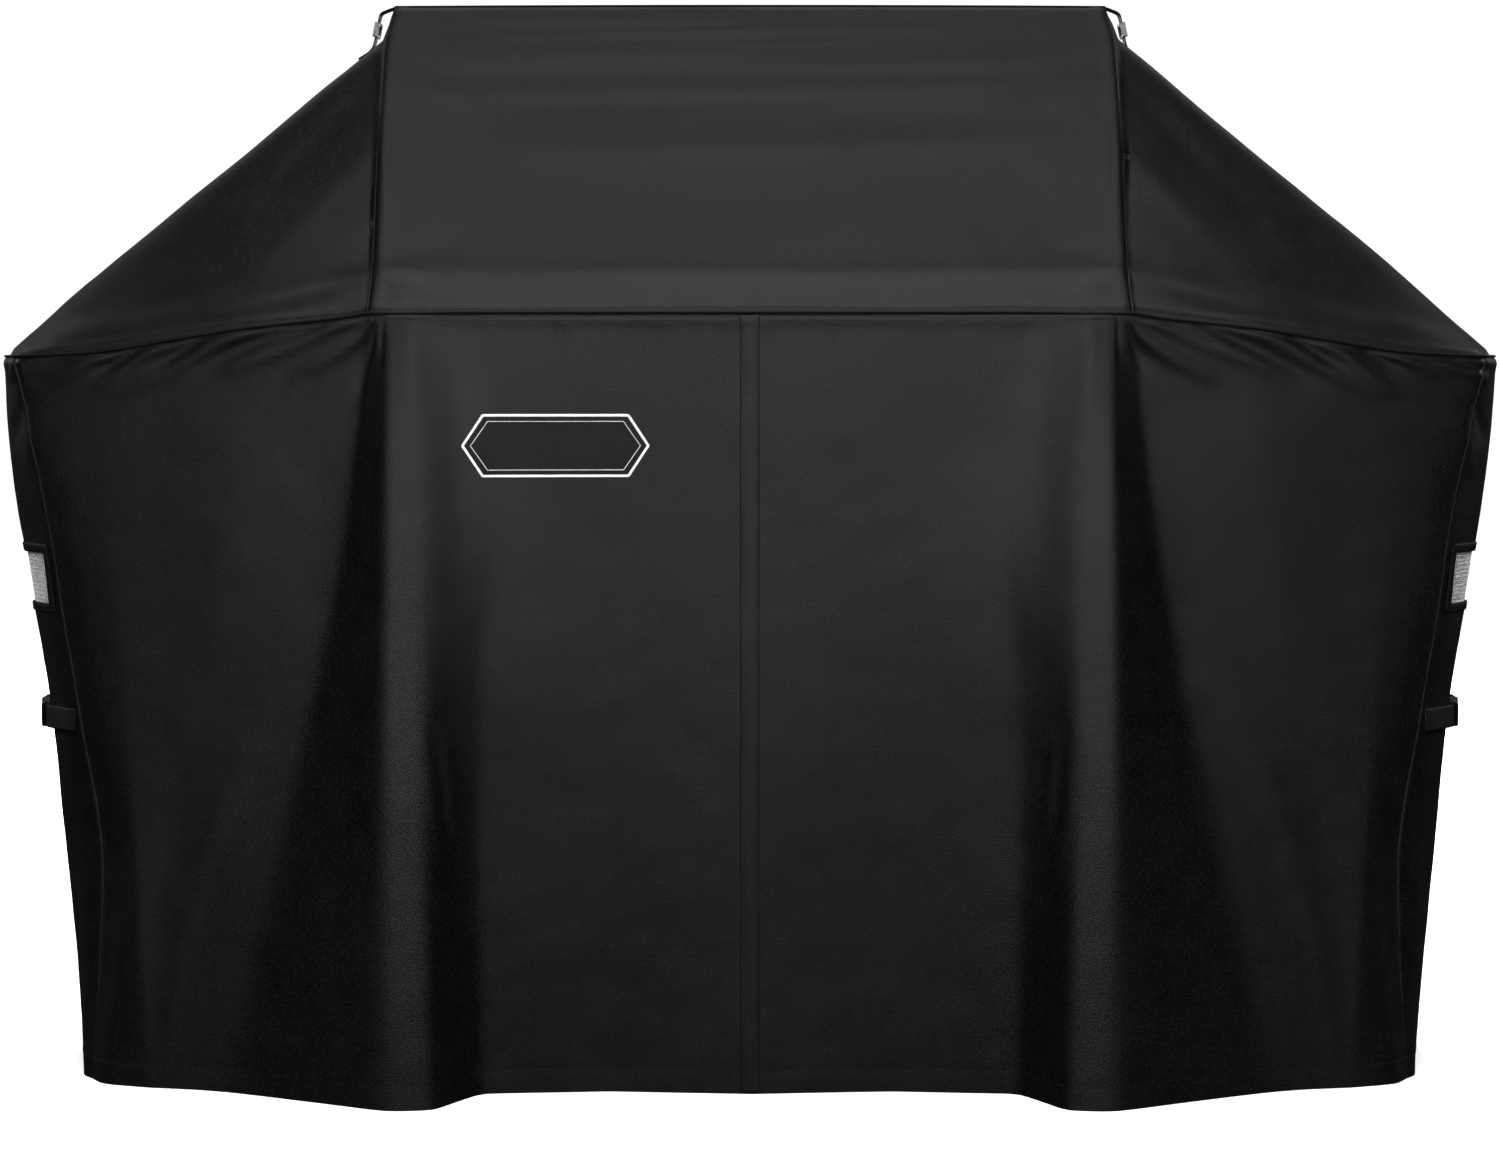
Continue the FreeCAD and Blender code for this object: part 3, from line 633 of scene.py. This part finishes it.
def shoulder_grid():
    """Right shoulder: rows run from the hood out to the shelf's end, columns front to back."""
    ring_front = seam_part(HOOD_R, CORNER_F)
    ring_back = seam_part(CORNER_B, HOOD_BACK_R)[::-1]
    n = len(ring_front)
    back_run = lengths(ring_back)
    ring_back = spread(ring_back, np.linspace(0, back_run[-1], n))
    side = seam_part(CORNER_F, CORNER_B)
    start = np.array(RIDGE_START, float)
    end = np.array((SHELF_X, -RIDGE_Y, SHELF_Z + 1), float)
    edge, edge_back = np.array(HOOD_EDGE, float), np.array(HOOD_EDGE_BACK, float)
    parts = (22, 26, 26, 64, 24, 24, 22)
    rows = []

    def section(stops):
        stops = [np.asarray(s, float) for s in stops]
        line = []
        for a, b, k in zip(stops, stops[1:], parts):
            line += [a + (b - a) * i / k for i in range(k)]
        return np.array(line + [stops[-1]])

    top = np.array((HOOD_TOP_X, -HOOD_TOP_Y, TOP_Z))
    rows.append(section([edge[0], edge[1], edge[2], top, top * (1, -1, 1), edge_back[2],
                         edge_back[1], edge_back[0]]))
    for i in range(n):
        t = i / (n - 1)
        ridge = start + (end - start) * t + (0, 0, 7 * t)
        ridge_b = ridge * (1, -1, 1)
        f, b = ring_front[i], ring_back[i]
        fold = max(0.0, 1 - t / 0.5) ** 1.3
        straight = [f + (ridge - f) * q for q in (0.16, 0.58)]
        at_hood = [edge[1] - (edge[0] + (start - edge[0]) * 0.16),
                   edge[2] - (edge[0] + (start - edge[0]) * 0.58)]
        low, mid = [s + h * fold for s, h in zip(straight, at_hood)]
        back = [b + (ridge_b - b) * q for q in (0.42, 0.76)]
        rows.append(section([f, low, mid, ridge, ridge_b, back[1], back[0], b]))
    grid = np.stack(rows)
    # the outer end follows the main seam across the shelf's end
    run = lengths(side)
    front_cells, ridge_cells = sum(parts[:3]), parts[3]
    where_front = np.interp(-RIDGE_Y, side[:, 1], run)
    where_back = np.interp(RIDGE_Y, side[:, 1], run)
    places = np.concatenate([np.linspace(0, where_front, front_cells, endpoint=False),
                             np.linspace(where_front, where_back, ridge_cells, endpoint=False),
                             np.linspace(where_back, run[-1], sum(parts[4:]) + 1)])
    goal = spread(side, places)
    pull = np.zeros(len(grid))
    tail = 16
    pull[-tail:] = np.linspace(0, 1, tail) ** 2
    grid = grid + (goal - grid[-1])[None] * pull[:, None, None]
    return grid


def smooth_columns(grid, sigma_mm):
    """Rounds each row by true distance: resampled evenly, softened and put back."""
    out = []
    for row in grid:
        run = lengths(row)
        if run[-1] < 1:
            out.append(row)
            continue
        count = max(8, int(run[-1] / 4))
        even = spread(row, np.linspace(0, run[-1], count))
        even = soften(even, sigma_mm / (run[-1] / (count - 1)), axis=0)
        new = lengths(even)
        out.append(spread(even, run / run[-1] * new[-1]))
    return np.stack(out)


def shoulder_piece(side):
    """A shoulder's cloth; side is 1 for the right and -1 for the left."""
    grid = shoulder_grid()
    rounded = smooth_columns(grid[1:], 15.0)
    rounded[-1] = grid[-1]
    inner = smooth_columns(grid[:1], 6.0)
    grid = np.concatenate([inner, rounded])
    # a few more rows between the hood's top edge and the ridge's start
    extra = [grid[0] + (grid[1] - grid[0]) * t for t in (0.25, 0.5, 0.75)]
    grid = np.concatenate([grid[:1], np.stack(extra), grid[1:]])
    normals = -outward(grid)
    if normals[len(grid) // 2, grid.shape[1] // 2, 2] < 0:
        normals = -normals
    x, y, z = grid[:, :, 0], grid[:, :, 1], grid[:, :, 2]
    run = np.stack([lengths(row) for row in grid])
    total = run[:, -1:]
    gap = np.minimum(run, total - run)
    far = np.broadcast_to(np.concatenate([[0], np.cumsum(np.linalg.norm(
        np.diff(grid[:, grid.shape[1] // 2], axis=0), axis=1))])[:, None], x.shape)
    outer = far[-1, 0] - far
    seed = 50 if side > 0 else 60
    lift = 0.6 * waves(grid, 200, seed) + 0.16 * waves(grid, 66, seed + 1)
    lift += 0.05 * waves(grid, 24, seed + 2)
    # tension lines run down the slope from the hood's corner
    for y0, y1, height, width in ((-150, -110, 1.6, 16), (-60, -30, 1.5, 22), (40, 60, -1.4, 20),
                                  (130, 150, 1.6, 16)):
        lift += crease(x, y, (420, y0), (760, y1), width, height)
    front = y < -100
    for fold in SHOULDER_FRONT_FOLDS:
        lift += front * crease(x, z, *fold)
    border = np.minimum(gap, outer)
    lift *= 1 - np.exp(-(border / 7.0) ** 2)
    lift += seam_dip(gap) * (outer > 3) + seam_dip(outer) * (gap > 3) * (outer < 30)
    lift[:2] = 0
    grid = grid + normals * lift[:, :, None]
    if side < 0:
        grid = grid * (-1, 1, 1)
        grid = grid[:, ::-1]
    name = ("right" if side > 0 else "left") + "_shoulder_cloth"
    piece = grid_piece(name, grid, CLOTH, thick=0)
    bm = bmesh.new()
    bm.from_mesh(piece.data)
    bmesh.ops.recalc_face_normals(bm, faces=bm.faces)
    middle = max(bm.faces, key=lambda f: f.calc_center_median().z)
    if middle.normal.z < 0:
        bmesh.ops.reverse_faces(bm, faces=bm.faces)
    bm.to_mesh(piece.data)
    bm.free()
    shell = piece.modifiers.new("cloth", "SOLIDIFY")
    shell.thickness, shell.offset, shell.use_rim = CLOTH_T * MM, -1, True
    return piece


SKIRTS, VENT_ROWS = skirt_panels()
PANELS = {**SKIRTS, "hood_front_panel": hood_front_piece(), "hood_back_panel": hood_back_piece(),
          "hood_top_panel": hood_top_piece(), "right_shoulder": shoulder_piece(1),
          "left_shoulder": shoulder_piece(-1)}
# Each panel joins the cover's body, and its CAD part is hidden.
for node, piece in PANELS.items():
    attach(piece, "cover")
    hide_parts(node)


# ---- places on the skirt ---------------------------------------------------------------
def on_skirt(column, row):
    """Point and outward direction at fractional column and row of the skirt's grid."""
    i, j = int(math.floor(row)), int(math.floor(column))
    i = min(max(i, 0), SKIRT.shape[0] - 2)
    t, q = row - i, column - j
    found = []
    for grid in (SKIRT, SKIRT_N):
        a = grid[i, j % COUNT] * (1 - q) + grid[i, (j + 1) % COUNT] * q
        b = grid[i + 1, j % COUNT] * (1 - q) + grid[i + 1, (j + 1) % COUNT] * q
        found.append(a * (1 - t) + b * t)
    return found[0], found[1] / np.linalg.norm(found[1])


def row_at(column, z):
    """The fractional row of a skirt column at height z."""
    heights = SKIRT[:, int(round(column)) % COUNT, 2]
    return float(np.interp(-z, -heights, np.arange(len(heights))))


def front_point(x, z):
    """The point on the front skirt at x and z."""
    near = [(j, SKIRT[40, j % COUNT, 0]) for j in range(-70, 71)]
    column = float(np.interp(x, [n[1] for n in near], [n[0] for n in near]))
    return np.array((x, on_skirt(column, row_at(column, z))[0][1], z))


def stitches(name, path, normals, material, pitch=4.2, length=3.0, radius=0.42, turn=0.0,
             lift=0.1):
    """A line of thread stitches lying on the cloth along a path (mm)."""
    path, normals = np.asarray(path, float), np.asarray(normals, float)
    run = lengths(path)
    count = max(1, int(run[-1] / pitch))
    at = (np.arange(count) + 0.5) * run[-1] / count
    middle = spread(path, at)
    ahead = spread(path, np.minimum(at + 0.5, run[-1])) - spread(path, np.maximum(at - 0.5, 0))
    up = np.stack([np.interp(at, run, normals[:, k]) for k in range(3)], axis=1)
    bm = bmesh.new()
    for m, a, n in zip(middle, ahead, up):
        a, n = a / np.linalg.norm(a), n / np.linalg.norm(n)
        side = np.cross(a, n)
        along = a * math.cos(turn) + side * math.sin(turn)
        side = np.cross(along, n)
        loops = []
        for share, size, high in ((-0.5, 0.45, -0.2), (-0.25, 1, 0.25), (0.25, 1, 0.25),
                                  (0.5, 0.45, -0.2)):
            centre = m + along * share * length + n * (lift + radius * high)
            loops.append([bm.verts.new((centre + (side * math.cos(w) * 1.15 + n * math.sin(w))
                                        * radius * size) * MM)
                          for w in (0.2, 1.35, 2.5, 3.9, 5.4)])
        for p, q in zip(loops, loops[1:]):
            for k in range(5):
                bm.faces.new((p[k], p[(k + 1) % 5], q[(k + 1) % 5], q[k]))
        bm.faces.new(loops[0][::-1])
        bm.faces.new(loops[-1])
    bmesh.ops.recalc_face_normals(bm, faces=bm.faces)
    piece = finish_mesh(name, bm, material)
    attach(piece, "cover")
    return piece


def join(name, pieces):
    """Several pieces of one kind as one mesh."""
    bm = bmesh.new()
    for piece in pieces:
        bm.from_mesh(piece.data)
    material = pieces[0].data.materials[0]
    for piece in pieces:
        bpy.data.objects.remove(piece)
    made = finish_mesh(name, bm, material)
    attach(made, "cover")
    return made


def claim(piece, node, body="cover"):
    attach(piece, body)
    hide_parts(node)
    return piece


# ---- trim ------------------------------------------------------------------------------
def main_welt():
    """The bound seam allowance that shows in the groove of the main seam."""
    normals = outward(SKIRT, closed=True)[4]
    flat = normals * (1, 1, 0)
    flat /= np.linalg.norm(flat, axis=1, keepdims=True)
    rings = []
    for j in range(COUNT):
        centre = SEAM_LINE[j] + flat[j] * 0.9
        rings.append([centre + flat[j] * 1.7 * math.cos(w) + np.array((0, 0, 1.5 * math.sin(w)))
                      for w in np.linspace(0, 2 * math.pi, 8, endpoint=False)])
    rings.append(rings[0])
    claim(swept("main_seam_welt", rings, WELT, caps=False), "main_seam_binding")


def swept(name, rings, material, caps=True):
    """Skins a list of closed rings (mm), with a chart for the weave."""
    rings = [np.asarray(r, float) for r in rings]
    bm = bmesh.new()
    cut = bm.loops.layers.uv.new("cut")
    closed = np.allclose(rings[0], rings[-1])
    body = rings[:-1] if closed else rings
    loops = [[bm.verts.new(p * MM) for p in ring] for ring in body]
    n = len(loops[0])
    around = lengths(np.vstack([rings[0], rings[0][:1]]))
    along = lengths(np.array([r.mean(axis=0) for r in rings]))
    for k in range(len(rings) - 1):
        a, b = loops[k], loops[(k + 1) % len(loops)]
        for i in range(n):
            face = bm.faces.new((a[i], a[(i + 1) % n], b[(i + 1) % n], b[i]))
            places = ((k, i), (k, i + 1), (k + 1, i + 1), (k + 1, i))
            for loop, (r, c) in zip(face.loops, places):
                loop[cut].uv = (around[c] * MM, along[r] * MM)
    if caps and not closed:
        bm.faces.new(loops[0][::-1])
        bm.faces.new(loops[-1])
    bmesh.ops.recalc_face_normals(bm, faces=bm.faces)
    return finish_mesh(name, bm, material)


def ribbon(name, path, across, width, thick, material, ribs=5, step=2.0, closed=False):
    """Flat webbing along a path (mm), with rounded edges and raised ribs."""
    path = np.asarray(path, float)
    across = np.asarray(across, float)
    run = lengths(path)
    line = spread(path, np.linspace(0, run[-1], max(4, int(run[-1] / step))))
    line = soften(line, 1.2, axis=0)
    ahead = np.gradient(line, axis=0)
    if closed:
        line[-1] = line[0]
        ahead[0] = ahead[-1] = line[1] - line[-2]
    shape = []
    for s in np.linspace(-1, 1, 6 * ribs + 1):
        rib = 0.86 + 0.14 * math.cos(s * ribs * math.pi * 2)
        bulge = thick / 2 * (1 - abs(s) ** 14) ** 0.5 * rib
        shape.append((s * width / 2, max(bulge, thick * 0.12)))
    rings = []
    for p, a in zip(line, ahead):
        up = np.cross(a, across)
        up /= np.linalg.norm(up)
        rings.append([p + across * s + up * h for s, h in shape]
                     + [p + across * s - up * h for s, h in shape[::-1]])
    return swept(name, rings, material, caps=not closed)


def centre_strip():
    """The folded strip down the middle of the front, sewn along both edges."""
    profile = [(-10.6, -0.2), (-10.4, 0.9), (-9.6, 1.35), (-8.6, 1.1), (-7, 1.5), (0, 1.7),
               (6.4, 1.5), (8, 1.1), (9, 1.35), (9.8, 0.9), (10, -0.2)]
    rows = []
    for z in np.concatenate([[828.5, 826, 823], np.linspace(818, 8, 150), [4, 0.8]]):
        rows.append([front_point(x, z)
                     + np.array((0, -h - 0.35 - 0.25 * math.sin(z / 31 + x / 9), 0))
                     for x, h in profile])
    piece = grid_piece("centre_seam_strip_cloth", np.array(rows), CLOTH, thick=0.8)
    claim(piece, "centre_seam_strip")


def strip_stitches(name, x, z0, z1, proud):
    """A line of stitches down the centre strip."""
    steps = int(abs(z1 - z0) / 6)
    path = [front_point(x, z0 + (z1 - z0) * t) - (0, proud, 0) for t in np.linspace(0, 1, steps)]
    return stitches(name, path, [(0, -1, 0)] * steps, material=THREAD)


BADGE_X, BADGE_Z, BADGE_HALF, BADGE_SHORT, BADGE_RISE = -204.0, 692.0, 100.0, 78.0, 34.0


def hexagon(scale_in):
    """Corners of the badge outline moved in by a margin, closed."""
    half, short = BADGE_HALF - 1.3 * scale_in, BADGE_SHORT - 0.8 * scale_in
    rise = BADGE_RISE - scale_in
    corners = [(short, rise), (half, 0), (short, -rise), (-short, -rise), (-half, 0),
               (-short, rise)]
    return [(BADGE_X + x, BADGE_Z + z) for x, z in corners + corners[:1]]


def badge_pieces():
    rows = []
    for v in np.linspace(1, -1, 25):
        half = BADGE_HALF - (BADGE_HALF - BADGE_SHORT) * abs(v) - 0.5
        line = []
        for s in np.linspace(-1, 1, 61):
            edge = max(abs(v), abs(s))
            high = 0.9 + 0.7 * (1 - edge ** 10)
            line.append(front_point(BADGE_X + s * half, BADGE_Z + v * (BADGE_RISE - 0.5))
                        - (0, high, 0))
        rows.append(line)
    patch = grid_piece("badge_patch_cloth", np.array(rows), PATCH, thick=0.9)
    claim(patch, "badge")
    satin = {"pitch": 0.7, "length": 2.9, "radius": 0.45, "turn": math.pi / 2}
    run = {"pitch": 2.6, "length": 2.3, "radius": 0.4}
    for name, margin, thread in (("badge_border", 2.2, satin), ("badge_line", 8.5, run)):
        path = []
        corners = hexagon(margin)
        for (x0, z0), (x1, z1) in zip(corners, corners[1:]):
            steps = max(2, int(math.hypot(x1 - x0, z1 - z0) / 5))
            path += [front_point(x0 + (x1 - x0) * k / steps, z0 + (z1 - z0) * k / steps)
                     - (0, 1.75, 0) for k in range(steps)]
        path.append(path[0])
        stitches(name, path, [(0, -1, 0)] * len(path), BORDER, **thread)


def vent_pieces(side):
    """Netting behind the vent, and the tape bound round it."""
    right = side == "right"
    first, last = (VENT_A, VENT_B) if right else (mirror_index(VENT_B), mirror_index(VENT_A))
    top, low = VENT_ROWS
    net = []
    for r in np.linspace(top - 0.8, low + 0.8, 15):
        line = [on_skirt(c, r) for c in np.linspace(first - 0.8, last + 0.8, 40)]
        net.append([place - way * 2.6 for place, way in line])
    netting = grid_piece(f"{side}_vent_netting", np.array(net), NETTING, thick=0)
    wires = netting.modifiers.new("threads", "WIREFRAME")
    wires.thickness = 1.1 * MM
    wires.use_even_offset = False
    claim(netting, f"{side}_vent_mesh")
    corners = [(first, top), (first, low), (last, low), (last, top)]
    profile = ((0.15, 0.2), (0.1, 1.0), (-0.2, 1.5), (-0.75, 1.6), (-1.3, 1.5), (-1.6, 1.0),
               (-1.65, 0.2))
    marks = []
    for (c0, r0), (c1, r1) in zip(corners, corners[1:] + corners[:1]):
        cells = 30 if c0 != c1 else 12
        marks += [(c0 + (c1 - c0) * k / cells, r0 + (r1 - r0) * k / cells) for k in range(cells)]
    centre_c, centre_r = (first + last) / 2, (top + low) / 2
    half_c, half_r = (last - first) / 2, (low - top) / 2
    loops = []
    for out, high in profile:
        grow_c, grow_r = (half_c - out) / half_c, (half_r - out) / half_r
        found = [on_skirt(centre_c + (c - centre_c) * grow_c, centre_r + (r - centre_r) * grow_r)
                 for c, r in marks]
        loops.append([place + way * high for place, way in found])
    tape = grid_piece(f"{side}_vent_tape", np.array(loops), TAPE, thick=0.6, closed=True)
    claim(tape, f"{side}_vent_binding")
    ways = [on_skirt(c, r)[1] for c, r in marks]
    stitches(f"{side}_vent_stitching", loops[4] + loops[4][:1], ways + ways[:1], THREAD)


def strap_pieces(side):
    """One side's straps, keeper, anchor patch and hang loop."""
    k = 1 if side == "right" else -1
    z, inner, outer = STRAP_Z, STRAP_IN_X, STRAP_OUT_X

    def placed(points):
        return [(k * x, y, z) for x, y in points]

    begins = []
    for step in (1.5, 3.0, 4.5):
        place, way = on_skirt(CORNER_F + step, row_at(CORNER_F + step, z))
        begins.append(tuple(place + way * 1.3)[:2])
    front = ribbon(f"{side}_front_webbing", placed([
        *begins, (765, -197), (inner - 0.6, -186), (inner, -177),
        (inner, -160), (inner, -152.4), (773.6, -150.8), (775.4, -150.2), (777.2, -150.8),
        (outer, -152.6), (outer, -160), (outer, -180)]),
                   (0, 0, 1), WEBBING_W, WEBBING_T, WEBBING)
    claim(front, f"{side}_front_strap")
    rear = ribbon(f"{side}_rear_webbing", placed([(inner, y) for y in (-105.6, -60, 0, 90, 178)]),
                  (0, 0, 1), WEBBING_W, WEBBING_T, WEBBING)
    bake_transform(rear)
    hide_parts(f"{side}_rear_strap")
    tail = ribbon(f"{side}_tail_webbing", placed([(outer, -104.9), (outer, -60), (outer, 30)]),
                  (0, 0, 1), WEBBING_W, WEBBING_T, WEBBING)
    claim(tail, f"{side}_strap_tail", f"{side}_buckle")
    low, high = [np.array(c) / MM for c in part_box(f"{side}_strap_keeper")]
    x0, x1 = sorted((abs(low[0]), abs(high[0])))
    thick = 0.8
    a, b, c, d = x0 + thick / 2, x1 - thick / 2, low[2] + thick / 2, high[2] - thick / 2
    loop = [(a, c + 2), (a, d - 2), (a + 0.6, d - 0.6), (a + 2, d), (b - 2, d), (b - 0.6, d - 0.6),
            (b, d - 2), (b, c + 2), (b - 0.6, c + 0.6), (b - 2, c), (a + 2, c),
            (a + 0.6, c + 0.6), (a, c + 2)]
    mid = (low[1] + high[1]) / 2
    keeper = ribbon(f"{side}_keeper_loop", [(k * x, mid, h) for x, h in loop], (0, 1, 0),
                    high[1] - low[1], thick, WEBBING, ribs=4, step=1.2, closed=True)
    claim(keeper, f"{side}_strap_keeper", f"{side}_keeper")
    low, high = [np.array(c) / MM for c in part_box(f"{side}_anchor_patch")]
    face = 771.65
    rows = []
    for h in np.linspace(high[2], low[2], 12):
        rows.append([(k * (face - 0.25 * (max(abs(h - z) / 18.5, abs(y - 160) / 24) > 0.93)), y, h)
                     for y in (np.linspace(low[1], high[1], 16) if k > 0
                               else np.linspace(high[1], low[1], 16))])
    patch = grid_piece(f"{side}_anchor_cloth", np.array(rows), CLOTH, thick=0.9)
    claim(patch, f"{side}_anchor_patch")
    sewn = []
    corners = [(140, 383), (174, 383), (174, 401), (140, 401), (140, 383), (174, 401), (174, 383),
               (140, 401)]
    for n, ((y0, h0), (y1, h1)) in enumerate(zip(corners, corners[1:])):
        path = [(k * (inner + 0.75), y0 + (y1 - y0) * t, h0 + (h1 - h0) * t)
                for t in np.linspace(0, 1, 6)]
        sewn.append(stitches(f"{side}_box_{n}", path, [(k, 0, 0)] * 6, THREAD, pitch=3.2,
                             length=2.4))
    join(f"{side}_strap_box_stitches", sewn)
    hang = ribbon(f"{side}_hang_webbing", [(k * x, -152, h) for x, h in (
        (364, 1164.3), (376, 1164.4), (384.5, 1164.3), (392, 1161.6), (402.4, 1157.6), (405.2, 1145),
        (409.8, 1121.8), (414, 1116), (426.5, 1108))],
                  (0, 1, 0), WEBBING_W, 1.5, WEBBING)
    claim(hang, f"{side}_hang_loop")


main_welt()
centre_strip()
badge_pieces()
for side in SIDES:
    vent_pieces(side)
for side in SIDES:
    strap_pieces(side)
join("strip_stitches", [strip_stitches("strip_a", -8.6, 826, 3, 1.5),
                        strip_stitches("strip_b", 8.0, 826, 3, 1.5)])
ALL_ROUND = list(range(COUNT)) + [0]
for name, row in (("seam_stitches", 6), ("hem_stitches", SKIRT.shape[0] - 8)):
    stitches(name, SKIRT[row][ALL_ROUND], SKIRT_N[row][ALL_ROUND], THREAD)

for side in SIDES:
    for part in ("buckle_female", "buckle_male", "buckle_prong_upper", "buckle_prong_lower",
                 "hang_loop_slider"):
        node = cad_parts[f"{side}_{part}"]
        node.data.materials.clear()
        node.data.materials.append(PLASTIC)


# ---- stage, light, camera --------------------------------------------------------------
def stage_material():
    m = Nodes("pale_floor")
    away = m.node("VectorMath", {0: m.place}, operation="LENGTH").outputs["Value"]
    m.set(Base_Color=(0.86, 0.86, 0.86, 1), Roughness=0.9, Specular_IOR_Level=0.0)
    m.set(Emission_Color=(1, 1, 1, 1), Emission_Strength=m.span(away, 0.5, 1.1, 1.1, 2.6))
    return m.material


bm = bmesh.new()
bmesh.ops.create_grid(bm, x_segments=2, y_segments=2, size=30)
floor = finish_mesh("floor", bm, stage_material())
floor.visible_glossy = False
floor.visible_diffuse = False


def softbox(name, place, aim, size, power):
    light = bpy.data.lights.new(name, "AREA")
    light.shape = "RECTANGLE"
    light.size, light.size_y = size
    light.energy = power
    lamp = bpy.data.objects.new(name, light)
    lamp.location = place
    lamp.rotation_euler = (Vector(aim) - Vector(place)).to_track_quat("-Z", "Y").to_euler()
    bpy.context.scene.collection.objects.link(lamp)


# Name, place, aim, size and power. A light whose place is off the middle has a twin.
LIGHTS = (("front_box", (0, -3.1, 1.72), (0, -0.3, 0.7), (2.0, 1.1), 128),
          ("top_box", (0, -0.22, 3.4), (0, -0.1, 0.8), (2.6, 1.0), 70),
          ("flank_box", (1.95, -2.95, 0.7), (0.6, -0.28, 0.3), (0.9, 1.2), 14),
          ("rim_box", (2.4, 2.5, 3.4), (0.6, -0.1, 0.95), (1.3, 1.3), 9),
          ("back_box", (0, 4.2, 2.6), (0, 0.3, 0.6), (2.2, 2.0), 500),
          ("side_box", (4.6, 1.9, 2.2), (0.5, 0.1, 0.5), (1.2, 1.2), 44))
for name, (x, y, z), (aim_x, aim_y, aim_z), size, power in LIGHTS:
    for end, way in ((("_left", -1), ("_right", 1)) if x else (("", 1),)):
        softbox(name + end, (way * x, y, z), (way * aim_x, aim_y, aim_z), size, power)

world = bpy.data.worlds.new("studio")
bpy.context.scene.world = world
world.use_nodes = True
tree = world.node_tree
background = tree.nodes["Background"]
background.inputs["Color"].default_value = (0.006, 0.0065, 0.0075, 1)
white = tree.nodes.new("ShaderNodeBackground")
white.inputs["Color"].default_value = (1, 1, 1, 1)
white.inputs["Strength"].default_value = 1.05
mix = tree.nodes.new("ShaderNodeMixShader")
path = tree.nodes.new("ShaderNodeLightPath")
tree.links.new(path.outputs["Is Camera Ray"], mix.inputs["Fac"])
tree.links.new(background.outputs[0], mix.inputs[1])
tree.links.new(white.outputs[0], mix.inputs[2])
tree.links.new(mix.outputs[0], tree.nodes["World Output"].inputs["Surface"])

LENS, CAMERA_PLACE, CAMERA_TILT = 79.92, (0, -3.82, 0.80), 85.87
camera_data = bpy.data.cameras.new("camera")
camera_data.sensor_width = 36
camera_data.lens = LENS
camera = bpy.data.objects.new("camera", camera_data)
camera.location = CAMERA_PLACE
camera.rotation_euler = (math.radians(CAMERA_TILT), 0, 0)
bpy.context.scene.collection.objects.link(camera)
bpy.context.scene.camera = camera
bpy.context.scene.view_settings.view_transform = "Standard"
